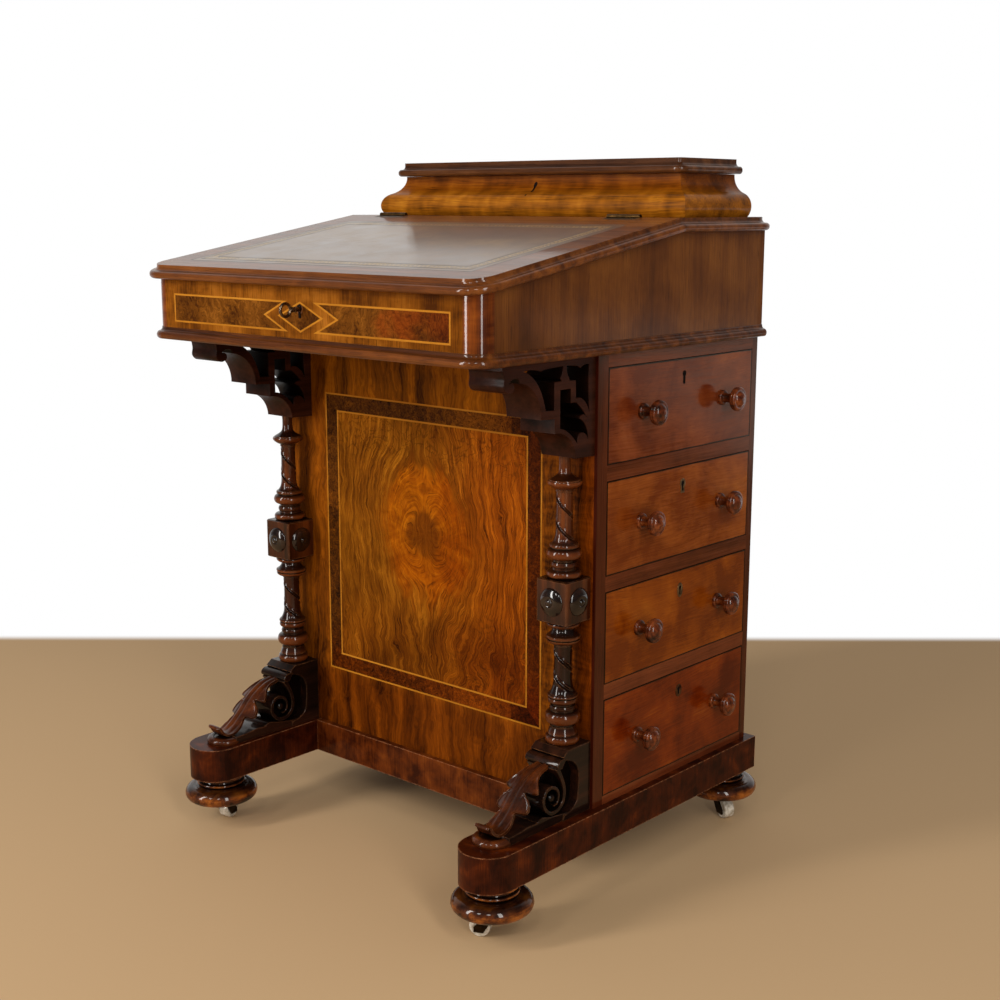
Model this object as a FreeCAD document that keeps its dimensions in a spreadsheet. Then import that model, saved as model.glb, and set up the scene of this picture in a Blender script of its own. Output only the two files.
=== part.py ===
import FreeCAD, Part
import math
import os
import re
import Sketcher

Vector = FreeCAD.Vector
Placement = FreeCAD.Placement
Rotation = FreeCAD.Rotation

# Driving dimensions of the desk in millimetres.
SIZES = {
    # Slope box
    "box_width": 524.0,
    "box_depth": 511.0,
    "box_rise": 127.0,
    "box_wall": 12.0,
    "rail_thick": 22.0,
    "corner_round": 20.0,
    "box_back_thick": 10.0,
    "box_bottom_thick": 8.0,
    "mould_height": 14.0,
    "mould_reach": 7.5,
    # Sloping lid and fixed top board
    "lid_run": 327.0,
    "lid_rise": 55.3,
    "lid_thick": 15.2,
    "edge_overhang": 13.0,
    "edge_step": 9.0,
    "edge_inset": 9.0,
    "edge_nose": 4.2,
    "edge_cove": 4.4,
    "break_gap": 0.4,
    "leather_side_margin": 49.0,
    "leather_front_margin": 40.0,
    "leather_back_margin": 44.0,
    "leather_thick": 1.2,
    # Hinges
    "lid_hinge_inset": 74.0,
    "stationery_hinge_inset": 98.5,
    "hinge_length": 47.0,
    "hinge_reach": 14.0,
    "hinge_radius": 2.5,
    "hinge_gap": 0.5,
    "hinge_pin_radius": 1.2,
    "leaf_thick": 1.5,
    # Lock and key of the sloping lid
    "key_reach": 37.0,
    "key_rise": 46.0,
    "key_shaft_radius": 2.5,
    "key_bow_radius": 8.2,
    "key_wire_radius": 1.8,
    "key_bit": 10.0,
    "key_bit_thick": 2.4,
    "lock_half": 24.0,
    "lock_depth": 13.0,
    "lock_wall": 2.0,
    "lock_drop": 22.0,
    "lock_head": 28.0,
    "bolt_half": 10.0,
    "bolt_height": 16.0,
    "bolt_throw": 6.0,
    "strike_rim": 7.0,
    "strike_thick": 1.0,
    "escutcheon_radius": 5.0,
    "escutcheon_proud": 0.6,
    # Inlay of the front rail
    "rail_panel_inset": 40.5,
    "rail_panel_near": 30.5,
    "rail_panel_tip": 61.5,
    "rail_panel_low": 23.0,
    "rail_panel_height": 29.0,
    "diamond_half": 32.0,
    # Stationery box
    "stationery_inset": 13.5,
    "stationery_setback": 34.7,
    "stationery_rear_inset": 10.0,
    "stationery_height": 50.0,
    "stationery_wall": 36.0,
    "stationery_back_thick": 10.0,
    "stationery_floor_thick": 5.0,
    "stationery_divider_thick": 5.0,
    "stationery_divider_drop": 14.0,
    "stationery_divider_place": 84.0,
    "stationery_lid_inset": 14.5,
    "stationery_lid_front": 13.5,
    "stationery_lid_thick": 17.5,
    "stationery_lid_round": 12.0,
    # Pedestal
    "pedestal_inset": 5.0,
    "pedestal_setback": 194.0,
    "panel_thick": 17.5,
    "veneer_thick": 1.0,
    "back_thick": 11.0,
    "side_thick": 15.0,
    "floor_thick": 10.0,
    "top_thick": 15.2,
    "divider_thick": 17.7,
    "rail_depth": 45.0,
    "runner_width": 18.0,
    "inlay_margin": 76.8,
    "banding_width": 21.3,
    "stringing_width": 2.2,
    # Drawers
    "upper_drawer_height": 107.7,
    "bottom_drawer_height": 115.6,
    "drawer_front_thick": 20.0,
    "drawer_side_thick": 9.0,
    "drawer_bottom_thick": 6.0,
    "drawer_bottom_lift": 4.0,
    "drawer_drop": 12.0,
    "drawer_end_gap": 12.0,
    "dummy_thick": 5.0,
    "knob_spread": 80.0,
    "knob_radius": 13.8,
    "knob_reach": 30.0,
    # Plinth, feet and castors
    "sledge_inset": 27.8,
    "sledge_half": 32.8,
    "sledge_height": 41.7,
    "sledge_front": 43.5,
    "sledge_rear": 12.0,
    "plinth_rail_thick": 22.0,
    "plinth_rail_proud": 8.0,
    "foot_height": 34.3,
    "foot_radius": 45.7,
    "foot_front_inset": 6.4,
    "foot_rear_inset": 28.0,
    "castor_height": 31.0,
    "socket_radius": 15.0,
    "socket_thick": 3.0,
    "stem_radius": 3.0,
    "stem_length": 16.0,
    "crown_radius": 11.0,
    "crown_thick": 2.6,
    "wheel_radius": 12.0,
    "wheel_width": 14.0,
    "wheel_round": 2.5,
    "castor_trail": 13.0,
    "cheek_thick": 2.2,
    "cheek_width": 11.0,
    "axle_radius": 2.2,
    # Columns and brackets
    "column_inset": 32.0,
    "column_radius": 21.5,
    "column_block": 43.0,
    "column_block_height": 49.5,
    "lower_turning": 141.0,
    "boss_radius": 16.0,
    "boss_reach": 6.0,
    "bracket_width": 48.0,
    "upper_reach": 151.0,
    "upper_height": 110.0,
    "lower_height": 81.5,
    "lower_reach": 120.0,
    "toe_pad_radius": 22.5,
    "toe_pad_height": 11.5,
    "toe_pad_reach": 138.6,
    "leaf_width": 42.0,
    # Fits
    "seat_gap": 0.3,
    "slide_gap": 0.8,
    "running_gap": 0.05,
    "overrun": 5.0,
    "edge_find": 0.0001,
}

# Places worked out from the driving dimensions.
PLACES = {
    "rear_reach": "sledge_rear - foot_rear_inset + foot_radius",
    "front_y": "(key_reach - box_depth - rear_reach) / 2",
    "rear_y": "front_y + box_depth",
    "break_y": "front_y + lid_run",
    "plinth_z": "castor_height + foot_height",
    "case_z": "plinth_z + sledge_height",
    "drawer_4_z": "case_z + floor_thick",
    "drawer_3_z": "drawer_4_z + bottom_drawer_height + divider_thick",
    "drawer_2_z": "drawer_3_z + upper_drawer_height + divider_thick",
    "drawer_1_z": "drawer_2_z + upper_drawer_height + divider_thick",
    "drawers_top_z": "drawer_1_z + upper_drawer_height",
    "box_z": "drawers_top_z + top_thick",
    "break_z": "box_z + box_rise",
    "lid_upright": "lid_thick * sqrt(1 + (lid_rise / lid_run) ^ 2)",
    "table_z": "break_z + seat_gap + lid_upright",
    "leaf_bed": "leaf_thick + seat_gap",
    "lid_round": "corner_round + edge_overhang",
    "box_x": "box_width / 2",
    "lid_x": "box_x + edge_overhang",
    "leather_half": "lid_x - leather_side_margin",
    "lid_hinge_spread": "box_x - lid_hinge_inset",
    "rail_panel_far": "box_x - rail_panel_inset",
    "case_x": "box_x - pedestal_inset",
    "column_spread": "box_x - column_inset",
    "sledge_spread": "box_x - sledge_inset",
    "case_front_y": "front_y + pedestal_setback",
    "opening_front_y": "case_front_y + veneer_thick + panel_thick",
    "opening_rear_y": "rear_y - back_thick",
    "opening_mid_y": "(opening_front_y + opening_rear_y) / 2",
    "left_inner_x": "side_thick - case_x",
    "band_margin": "inlay_margin + stringing_width",
    "inner_margin": "inlay_margin + banding_width",
    "field_margin": "inner_margin + stringing_width",
    "key_z": "box_z + key_rise",
    "lock_y": "front_y + rail_thick",
    "lock_low_z": "key_z - lock_drop",
    "lock_high_z": "key_z + lock_head",
    "bolt_front_y": "lock_y + lock_wall + seat_gap",
    "bolt_rear_y": "lock_y + lock_depth - lock_wall - seat_gap",
    "rail_mid_z": "box_z + rail_panel_low + rail_panel_height / 2",
    "rail_slant": "(rail_panel_tip - rail_panel_near) / (rail_panel_height / 2)",
    "rail_skew": "sqrt(1 + rail_slant ^ 2)",
    "stationery_front_y": "break_y + stationery_setback",
    "stationery_rear_y": "rear_y - stationery_rear_inset",
    "stationery_x": "box_x - stationery_inset",
    "stationery_lid_half": "stationery_x - stationery_lid_inset",
    "stationery_hinge_spread": "stationery_x - stationery_hinge_inset",
    "stationery_top_z": "table_z + stationery_height",
    "stationery_lid_z": "stationery_top_z + seat_gap",
    "stationery_pivot_y": "stationery_rear_y + hinge_radius + seat_gap",
    "stationery_pivot_z": "stationery_top_z + seat_gap / 2",
    "lid_pivot_z": "table_z + hinge_radius - leaf_thick",
    "sledge_front_y": "front_y + sledge_front",
    "foot_front_y": "sledge_front_y + foot_front_inset",
    "foot_rear_y": "rear_y + sledge_rear - foot_rear_inset",
    "column_y": "case_front_y - column_block / 2",
    "column_z": "case_z + lower_height",
    "block_z": "column_z + lower_turning",
    "upper_z": "box_z - upper_height",
    "upper_turning": "upper_z - block_z - column_block_height",
    "crown_z": "castor_height - socket_thick - seat_gap",
}

# Turned profiles: share of the height, share of the radius, and the swell of the run up to the
# next row as a share of that run's length, positive outwards.
LOWER_TURNING_SHARES = [
    (0.00, 0.76, 0.42),
    (0.08, 0.76, 0.0),
    (0.09, 0.66, -0.14),
    (0.15, 0.66, 0.0),
    (0.16, 0.74, 0.38),
    (0.25, 0.74, 0.0),
    (0.26, 0.64, -0.20),
    (0.31, 0.64, 0.0),
    (0.315, 0.68, 0.36),
    (0.365, 0.68, 0.0),
    (0.37, 0.66, -0.16),
    (0.44, 0.60, 0.0),
    (0.77, 0.54, -0.12),
    (0.80, 0.70, 0.0),
    (0.805, 0.86, 0.30),
    (0.855, 0.86, -0.22),
    (0.915, 0.66, 0.0),
    (0.92, 0.80, 0.35),
    (0.97, 0.80, 0.0),
    (1.00, 0.72, 0.0),
]
UPPER_TURNING_SHARES = [
    (0.00, 0.78, 0.0),
    (0.005, 0.88, 0.30),
    (0.06, 0.88, -0.18),
    (0.09, 0.66, 0.0),
    (0.095, 0.66, 0.35),
    (0.135, 0.66, 0.0),
    (0.15, 0.62, 0.0),
    (0.16, 0.72, 0.38),
    (0.265, 0.72, 0.0),
    (0.275, 0.72, -0.20),
    (0.34, 0.53, 0.0),
    (0.70, 0.47, 0.0),
    (0.72, 0.52, 0.0),
    (0.735, 0.72, 0.30),
    (0.82, 0.70, -0.24),
    (0.90, 0.34, 0.0),
    (1.00, 0.34, 0.0),
]
FOOT_SHARES = [
    (0.00, 0.66, 0.0),
    (0.04, 0.74, 0.24),
    (0.30, 1.00, 0.24),
    (0.58, 0.72, 0.0),
    (0.64, 0.58, 0.0),
    (0.66, 0.64, 0.30),
    (0.76, 0.64, 0.0),
    (0.78, 0.57, -0.15),
    (0.88, 0.57, 0.0),
    (0.90, 0.66, 0.0),
    (1.00, 0.66, 0.0),
]
KNOB_SHARES = [
    (0.00, 0.66, 0.0),
    (0.08, 0.66, 0.20),
    (0.14, 0.46, -0.10),
    (0.42, 0.44, -0.16),
    (0.60, 0.86, 0.26),
    (0.74, 1.00, 0.30),
    (0.86, 0.86, 0.0),
    (0.86, 0.72, 0.12),
    (0.97, 0.30, 0.0),
    (1.00, 0.16, 0.0),
]
BOSS_SHARES = [
    (0.00, 1.00, 0.10),
    (0.30, 0.94, 0.14),
    (0.74, 0.36, 0.0),
    (0.80, 0.30, 0.30),
    (1.00, 0.12, 0.0),
]

# Moulding under the slope box: share of the reach, share of the height, swell.
MOULD_SHARES = [
    (0.00, 0.00, 0.0),
    (0.70, 0.00, 0.26),
    (0.70, 0.62, 0.0),
    (0.45, 0.66, -0.18),
    (0.12, 1.00, 0.0),
    (0.00, 1.00, 0.0),
]

# Ogee wall of the stationery box: share of the wall from the outside, share of the height, swell.
OGEE_SHARES = [
    (0.15, 0.00, 0.28),
    (0.33, 0.56, -0.16),
    (0.71, 1.00, 0.0),
    (1.00, 1.00, 0.0),
    (1.00, 0.00, 0.0),
]

# Upper bracket in side view: share of the forward reach, share of the height, swell.
UPPER_BRACKET_SHARES = [
    (0.00, 0.00, 0.0),
    (0.22, 0.01, 0.207),
    (0.45, 0.285, 0.0),
    (0.45, 0.43, 0.0),
    (0.60, 0.44, 0.205),
    (0.838, 0.845, -1.25),
    (0.94, 0.90, 0.0),
    (0.985, 0.92, 0.0),
    (1.00, 1.00, 0.0),
    (0.00, 1.00, 0.0),
]
FRET_SHARES = [
    [
        (0.72, 0.91, -0.09),
        (0.55, 0.52, 0.0),
        (0.46, 0.515, 0.0),
        (0.46, 0.785, 0.0),
        (0.385, 0.785, 0.0),
        (0.40, 0.815, 0.12),
        (0.37, 0.925, 0.0),
        (0.56, 0.915, 0.0),
        (0.61, 0.90, 0.06),
    ],
    [
        (0.325, 0.925, 0.0),
        (0.21, 0.91, 0.0),
        (0.175, 0.885, -0.10),
        (0.08, 0.915, 0.02),
        (0.07, 0.45, 0.10),
        (0.157, 0.594, 0.08),
        (0.22, 0.60, 0.0),
        (0.225, 0.775, 0.0),
        (0.295, 0.78, 0.0),
        (0.30, 0.81, -0.12),
    ],
    [
        (0.395, 0.70, 0.0),
        (0.28, 0.70, 0.0),
        (0.28, 0.56, 0.0),
        (0.22, 0.56, -0.04),
        (0.105, 0.41, 0.26),
        (0.185, 0.40, -0.16),
        (0.08, 0.18, 0.20),
        (0.173, 0.256, 0.14),
        (0.202, 0.155, 0.05),
        (0.31, 0.285, 0.08),
        (0.393, 0.325, 0.0),
    ],
]

# Lower bracket in side view, from the pedestal forwards: shares of reach and height, swell.
LOWER_BRACKET_SHARES = [
    (0.00, 0.00, 0.0),
    (0.98, 0.00, 0.0),
    (0.98, 0.10, 0.0),
    (0.66, 0.15, 0.0),
    (0.60, 0.17, -0.45),
    (0.50, 0.595, -0.20),
    (0.38, 0.55, 0.22),
    (0.44, 0.76, 0.0),
    (0.485, 0.83, -0.20),
    (0.40, 0.92, 0.16),
    (0.34, 1.00, 0.0),
    (0.00, 1.00, 0.0),
]
LEAF_SHARES = [
    (0.44, 0.74, 0.12),
    (0.94, 0.28, 0.10),
    (1.18, 0.17, -0.45),
    (1.32, 0.36, -0.45),
    (1.20, 0.33, -0.10),
    (1.06, 0.30, -0.14),
    (0.72, 0.66, -0.16),
    (0.47, 0.84, 0.0),
]

# Where an edge is looked at, and the swell of a quarter circle.
EDGE_SHARES = (0.0, 0.5, 1.0)
QUARTER_SHARE = (math.sqrt(2) - 1) / 2

# Each castor's side, end and heading in degrees from +X.
CASTORS = {
    "front_left": (-1, "foot_front_y", 104),
    "front_right": (1, "foot_front_y", 205),
    "rear_left": (-1, "foot_rear_y", 62),
    "rear_right": (1, "foot_rear_y", -23),
}

# Drawers from the top: floor of the opening and its height.
DRAWERS = {
    "drawer_1": ("drawer_1_z", "upper_drawer_height"),
    "drawer_2": ("drawer_2_z", "upper_drawer_height"),
    "drawer_3": ("drawer_3_z", "upper_drawer_height"),
    "drawer_4": ("drawer_4_z", "bottom_drawer_height"),
}

doc = FreeCAD.newDocument("davenport_desk")
sheet = doc.addObject("Spreadsheet::Sheet", "sizes")
for row, (alias, size) in enumerate(SIZES.items(), 1):
    sheet.set(f"A{row}", alias)
    sheet.set(f"B{row}", str(size))
    sheet.setAlias(f"B{row}", alias)
doc.recompute()
nodes = []


def ex(text):
    """Expression with every named size read from the sheet and every place spelled out."""
    def read(match):
        name = match.group(0)
        if name in PLACES:
            return "(" + ex(PLACES[name]) + ")"
        return "sizes." + name if name in SIZES else name
    return re.sub(r"[a-z]\w*", read, text)


def val(text):
    """Number that an expression stands for."""
    return float(sheet.evalExpression(ex(text)))


def both(half):
    """Span from one side to the other."""
    return f"-({half})", half


def mirrored(span):
    """The same span on the other side."""
    return f"-({span[1]})", f"-({span[0]})"


def sides(span):
    """A span on the right and its mirror on the left."""
    return {"right": span, "left": mirrored(span)}


def slope_z(y, lift="0"):
    """Height of the slope's seat at a depth, plus a lift."""
    return f"break_z - (break_y - ({y})) * lid_rise / lid_run + ({lift})"


def node(label, *pieces):
    """Names a sub-part; several pieces share one node as separate solids."""
    piece = pieces[0]
    if len(pieces) > 1:
        piece = doc.addObject("Part::Compound", label)
        piece.Links = list(pieces)
    piece.Label = label
    nodes.append(piece)
    return piece


def block(name, x, y, z):
    """Rectangular board between a low and a high face on each axis."""
    board = doc.addObject("Part::Box", name + "_board")
    for size, axis, (low, high) in (("Length", "x", x), ("Width", "y", y), ("Height", "z", z)):
        board.setExpression(size, ex(f"({high}) - ({low})"))
        board.setExpression(f"Placement.Base.{axis}", ex(low))
    return board


def rod(name, axis, radius, place, low, high):
    """Round bar along one axis through a place given by the other two coordinates."""
    bar = doc.addObject("Part::Cylinder", name + "_rod")
    bar.setExpression("Radius", ex(radius))
    bar.setExpression("Height", ex(f"({high}) - ({low})"))
    others = [letter for letter in "xyz" if letter != axis]
    bar.setExpression(f"Placement.Base.{axis}", ex(low))
    for letter, where in zip(others, place):
        bar.setExpression(f"Placement.Base.{letter}", ex(where))
    turn = {"x": Rotation(Vector(0, 1, 0), 90), "y": Rotation(Vector(1, 0, 0), -90), "z": Rotation()}
    bar.Placement.Rotation = turn[axis]
    return bar


def cut(name, base, *tools):
    """The base with each tool taken out."""
    for index, tool in enumerate(tools):
        result = doc.addObject("Part::Cut", f"{name}_cut_{index}")
        result.Base = base
        result.Tool = tool
        base = result
    return base


def fuse(name, *pieces):
    """Several overlapping pieces made into one solid."""
    result = doc.addObject("Part::MultiFuse", name + "_fuse")
    result.Shapes = list(pieces)
    result.Refine = True
    return result


def sketch_outline(body, name, role, outline, offset):
    """Closed sketch of straight lines whose corners follow the named sizes."""
    sketch = body.newObject("Sketcher::SketchObject", name + "_sketch")
    plane = [item for item in body.Origin.OriginFeatures if item.Role == role][0]
    sketch.AttachmentSupport = [(plane, "")]
    sketch.MapMode = "FlatFace"
    corners = [Vector(val(u), val(v), 0) for u, v in outline]
    count = len(corners)
    for index in range(count):
        sketch.addGeometry(Part.LineSegment(corners[index], corners[(index + 1) % count]))
    for index in range(count):
        sketch.addConstraint(Sketcher.Constraint("Coincident", index, 2, (index + 1) % count, 1))
    for index, (u, v) in enumerate(outline):
        for kind, text, number in (("DistanceX", u, corners[index].x), ("DistanceY", v, corners[index].y)):
            place = sketch.addConstraint(Sketcher.Constraint(kind, -1, 1, index, 1, number))
            sketch.setExpression(f"Constraints[{place}]", ex(text))
    sketch.setExpression("AttachmentOffset.Base.z", ex(offset))
    return sketch


def add_pad(body, name, role, outline, low, high):
    """Pad of an outline between two offsets along the normal of its plane."""
    pad = body.newObject("PartDesign::Pad", name + "_pad")
    pad.Profile = sketch_outline(body, name, role, outline, low)
    pad.setExpression("Length", ex(f"({high}) - ({low})"))
    return pad


def prism(name, outline, x):
    """Body with a side-view outline of (y, z) corners, carried from one x to another."""
    body = doc.addObject("PartDesign::Body", name + "_body")
    add_pad(body, name, "YZ_Plane", outline, x[0], x[1])
    return body


def front_prism(name, outline, y):
    """Body with a front-view outline of (x, z) corners, carried from one y to another."""
    body = doc.addObject("PartDesign::Body", name + "_body")
    add_pad(body, name, "XZ_Plane", outline, f"-({y[1]})", f"-({y[0]})")
    return body


def round_edges(body, name, radius, wanted):
    """Fillet on the edges of a body whose sampled points are all wanted."""
    doc.recompute()
    base = body.Tip
    names = []
    for index, edge in enumerate(base.Shape.Edges, 1):
        span = edge.LastParameter - edge.FirstParameter
        points = [edge.valueAt(edge.FirstParameter + span * share) for share in EDGE_SHARES]
        if wanted(points):
            names.append(f"Edge{index}")
    fillet = body.newObject("PartDesign::Fillet", name + "_fillet")
    fillet.Base = (base, names)
    fillet.setExpression("Radius", ex(radius))
    doc.recompute()


def solid(name, shape, place=None):
    """Sub-part with a curved shape made directly."""
    feature = doc.addObject("Part::Feature", name + "_shape")
    feature.Shape = shape
    if place:
        feature.Placement = place.multiply(shape.Placement)
    return feature


def run(start, end, swell, across):
    """Straight or swelling edge from one point to the next."""
    if not swell:
        return Part.LineSegment(start, end).toShape()
    chord = end - start
    side = chord.cross(across)
    side.normalize()
    middle = (start + end) * 0.5 + side * (swell * chord.Length)
    return Part.Arc(start, middle, end).toShape()


def outline_wire(points, swells, across):
    """Closed wire through points, each run with its own swell."""
    count = len(points)
    edges = [run(points[i], points[(i + 1) % count], swells[i], across) for i in range(count)]
    return Part.Wire(edges)


def turned(shares, height, radius):
    """Solid of revolution about Z from a table of shares."""
    across = Vector(0, -1, 0)
    points = [Vector(0, 0, 0)]
    swells = [0]
    for height_share, radius_share, swell in shares:
        points.append(Vector(radius_share * radius, 0, height_share * height))
        swells.append(swell)
    points.append(Vector(0, 0, height))
    swells.append(0)
    face = Part.Face(outline_wire(points, swells, across))
    return face.revolve(Vector(0, 0, 0), Vector(0, 0, 1), 360)


def side_face(shares, reach, height, corner):
    """Wire in the YZ plane, with shares forward (towards -Y) and up from a corner."""
    points = [corner + Vector(0, -u * reach, v * height) for u, v, swell in shares]
    swells = [row[2] for row in shares]
    return outline_wire(points, swells, Vector(1, 0, 0))


def front_layer(name, outer, inner=None):
    """Veneer on the pedestal's front, from one margin in to another if one is given."""
    def board(margin, y):
        x = both(f"case_x - ({margin})")
        return block(name, x, y, (f"case_z + ({margin})", f"box_z - ({margin})"))
    piece = board(outer, ("case_front_y", "case_front_y + veneer_thick"))
    if inner is None:
        return piece
    hole_y = ("case_front_y - overrun", "case_front_y + veneer_thick + overrun")
    return cut(name, piece, board(inner, hole_y))


def make_pedestal():
    """Panels, boards, rails and runners of the drawer pedestal."""
    full_z = ("case_z", "box_z")
    depth_y = ("opening_front_y", "opening_rear_y")
    inside_x = ("left_inner_x", "case_x")
    front_y = ("case_front_y + veneer_thick", "opening_front_y")
    node("front_panel", block("front_panel", both("case_x"), front_y, full_z))
    border = front_layer("veneer_border", "0", "inlay_margin")
    field = front_layer("veneer_field", "field_margin")
    node("front_veneer", border, field)
    node("front_banding", front_layer("front_banding", "band_margin", "inner_margin"))
    node("back_panel", block("back_panel", both("case_x"), ("opening_rear_y", "rear_y"), full_z))
    node("pedestal_top", block("pedestal_top", inside_x, depth_y, ("drawers_top_z", "box_z")))
    node("pedestal_floor", block("pedestal_floor", inside_x, depth_y, ("case_z", "drawer_4_z")))
    rails = []
    runners = []
    for above, below in (("drawer_1", "drawer_2"), ("drawer_2", "drawer_3"), ("drawer_3", "drawer_4")):
        floor, height = DRAWERS[below]
        z = (f"{floor} + {height}", DRAWERS[above][0])
        rails.append(block("rail", ("case_x - rail_depth", "case_x"), depth_y, z))
        runner_x = ("left_inner_x", "case_x - rail_depth")
        for y in (("opening_front_y", "opening_front_y + runner_width"),
                  ("opening_rear_y - runner_width", "opening_rear_y")):
            runners.append(block("runner", runner_x, y, z))
    node("drawer_rails", *rails)
    node("drawer_runners", *runners)


def make_left_side():
    """Left side board with dummy drawer fronts let into it, and their knobs."""
    y = ("opening_front_y", "opening_rear_y")
    board = block("left_side", ("-case_x", "left_inner_x"), y, ("case_z", "box_z"))
    pockets = []
    fronts = []
    knobs = []
    for name, (floor, height) in DRAWERS.items():
        pocket_x = ("-case_x - overrun", "dummy_thick - case_x")
        pocket_y = ("opening_front_y - overrun", "opening_rear_y + overrun")
        pockets.append(block(name + "_pocket", pocket_x, pocket_y, (floor, f"{floor} + {height}")))
        front_y = ("opening_front_y + slide_gap", "opening_rear_y - slide_gap")
        front_z = (f"{floor} + seat_gap", f"{floor} + {height} - slide_gap")
        fronts.append(block(name + "_dummy", ("-case_x", "dummy_thick - case_x"), front_y, front_z))
        knobs += drawer_knobs(name + "_dummy", floor, height, -1)
    node("left_side", cut("left_side", board, *pockets))
    node("dummy_drawer_fronts", *fronts)
    node("dummy_knobs", *knobs)


def drawer_knobs(name, floor, height, side):
    """Pair of turned knobs on a drawer front."""
    knob = turned(KNOB_SHARES, val("knob_reach"), val("knob_radius"))
    pair = []
    for sign in (-1, 1):
        at = Vector(side * val("case_x"), val(f"opening_mid_y + {sign} * knob_spread"),
                    val(f"{floor} + {height} / 2"))
        pair.append(solid(name + "_knob", knob, Placement(at, Rotation(Vector(0, 1, 0), 90 * side))))
    return pair


def make_drawer(name, floor, height):
    """Drawer front, its box of sides, back and bottom, and its knobs."""
    y = ("opening_front_y + slide_gap", "opening_rear_y - slide_gap")
    z = (f"{floor} + seat_gap", f"{floor} + {height} - slide_gap")
    front_x = "case_x - drawer_front_thick"
    node(name + "_front", block(name + "_front", (front_x, "case_x"), y, z))
    end_x = "left_inner_x + drawer_end_gap"
    back_x = f"{end_x} + drawer_side_thick"
    box_z = (z[0], f"{floor} + {height} - drawer_drop")
    inner_y = (f"{y[0]} + drawer_side_thick", f"{y[1]} - drawer_side_thick")
    bottom_z = (f"{z[0]} + drawer_bottom_lift", f"{z[0]} + drawer_bottom_lift + drawer_bottom_thick")
    box = [
        block(name + "_near_side", (end_x, front_x), (y[0], inner_y[0]), box_z),
        block(name + "_far_side", (end_x, front_x), (inner_y[1], y[1]), box_z),
        block(name + "_back", (end_x, back_x), inner_y, box_z),
        block(name + "_bottom", (back_x, front_x), inner_y, bottom_z),
    ]
    node(name + "_box", *box)
    node(name + "_knobs", *drawer_knobs(name, floor, height, 1))


def slope_cutter(name):
    """Everything above the seat of the sloping lid."""
    low_y = "front_y - overrun"
    high_z = "break_z + box_rise"
    outline = [(low_y, slope_z(low_y)), ("break_y", "break_z"), ("break_y", high_z), (low_y, high_z)]
    return prism(name + "_slope", outline, both("box_x + overrun"))


def make_slope_box():
    """Corner posts, sides, back and bottom of the slope box."""
    posts = []
    walls = []
    post_y = ("front_y", "front_y + rail_thick")
    back_y = "rear_y - box_back_thick"
    for side, x in sides(("box_x - rail_thick", "box_x")).items():
        post = doc.addObject("PartDesign::Body", side + "_post_body")
        outline = [(x[0], post_y[0]), (x[1], post_y[0]), (x[1], post_y[1]), (x[0], post_y[1])]
        add_pad(post, side + "_post", "XY_Plane", outline, "box_z", "break_z")
        corner = Vector(math.copysign(val("box_x"), val(x[0])), val("front_y"), 0)

        def on_corner(points, at=corner):
            """Whether points run up the post's outer front corner."""
            return all((p - at).cross(Vector(0, 0, 1)).Length < val("edge_find") for p in points)

        round_edges(post, side + "_post", "corner_round", on_corner)
        posts.append(cut(side + "_post", post, slope_cutter(side + "_post")))
    for side, x in sides(("box_x - box_wall", "box_x")).items():
        outline = [(post_y[1], "box_z"), (back_y, "box_z"), (back_y, "break_z"), ("break_y", "break_z"),
                   (post_y[1], slope_z(post_y[1]))]
        walls.append(prism(side + "_wall", outline, x))
    node("box_corner_posts", *posts)
    node("box_sides", *walls)
    node("box_back", block("box_back", both("box_x"), (back_y, "rear_y"), ("box_z", "break_z")))
    bottom_z = ("box_z", "box_z + box_bottom_thick")
    node("box_bottom", block("box_bottom", both("box_x - box_wall"), (post_y[1], back_y), bottom_z))


def make_base_moulding():
    """Moulding round the foot of the slope box: front, two round corners and two sides."""
    reach = val("mould_reach")
    height = val("mould_height")
    radius = val("corner_round")
    low_z = val("box_z")
    edge_x = val("box_x")
    front = val("front_y")
    rear = val("rear_y")

    def face(at, out):
        """Profile standing on a point of the box, pointing out from it."""
        points = [at + out * (u * reach) + Vector(0, 0, v * height) for u, v, swell in MOULD_SHARES]
        across = out.cross(Vector(0, 0, 1))
        return Part.Face(outline_wire(points, [row[2] for row in MOULD_SHARES], across))

    straight = 2 * (edge_x - radius)
    start = Vector(-edge_x + radius, front, low_z)
    pieces = [face(start, Vector(0, -1, 0)).extrude(Vector(straight, 0, 0))]
    for side in (-1, 1):
        start = Vector(side * edge_x, front + radius, low_z)
        profile = face(start, Vector(side, 0, 0))
        pieces.append(profile.extrude(Vector(0, rear - front - radius, 0)))
        centre = Vector(side * (edge_x - radius), front + radius, low_z)
        pieces.append(profile.revolve(centre, Vector(0, 0, 1), -90 * side))
    node("base_moulding", *[solid("base_moulding", piece) for piece in pieces])


def fishtail(name, side, spread, y):
    """Rail panel with a notched inner end, spread by a width on every side."""
    far = f"rail_panel_far + ({spread})"
    near = f"rail_panel_near - ({spread}) * (rail_skew + rail_slant)"
    tip = f"rail_panel_tip - ({spread}) * rail_skew"
    low = f"box_z + rail_panel_low - ({spread})"
    high = f"box_z + rail_panel_low + rail_panel_height + ({spread})"
    corners = [(far, low), (near, low), (tip, "rail_mid_z"), (near, high), (far, high)]
    outline = [(f"{side} * ({x})", z) for x, z in corners]
    return front_prism(name, outline, y)


def diamond(name, spread, y):
    """Lozenge at the middle of the rail, spread by a width on every side."""
    half_height = "rail_panel_height / 2"
    wide = f"diamond_half + ({spread}) * sqrt(1 + (diamond_half / ({half_height})) ^ 2)"
    tall = f"{half_height} + ({spread}) * sqrt(1 + (({half_height}) / diamond_half) ^ 2)"
    outline = [(f"-({wide})", "rail_mid_z"), ("0", f"rail_mid_z - ({tall})"), (wide, "rail_mid_z"),
               ("0", f"rail_mid_z + ({tall})")]
    return front_prism(name, outline, y)


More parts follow.
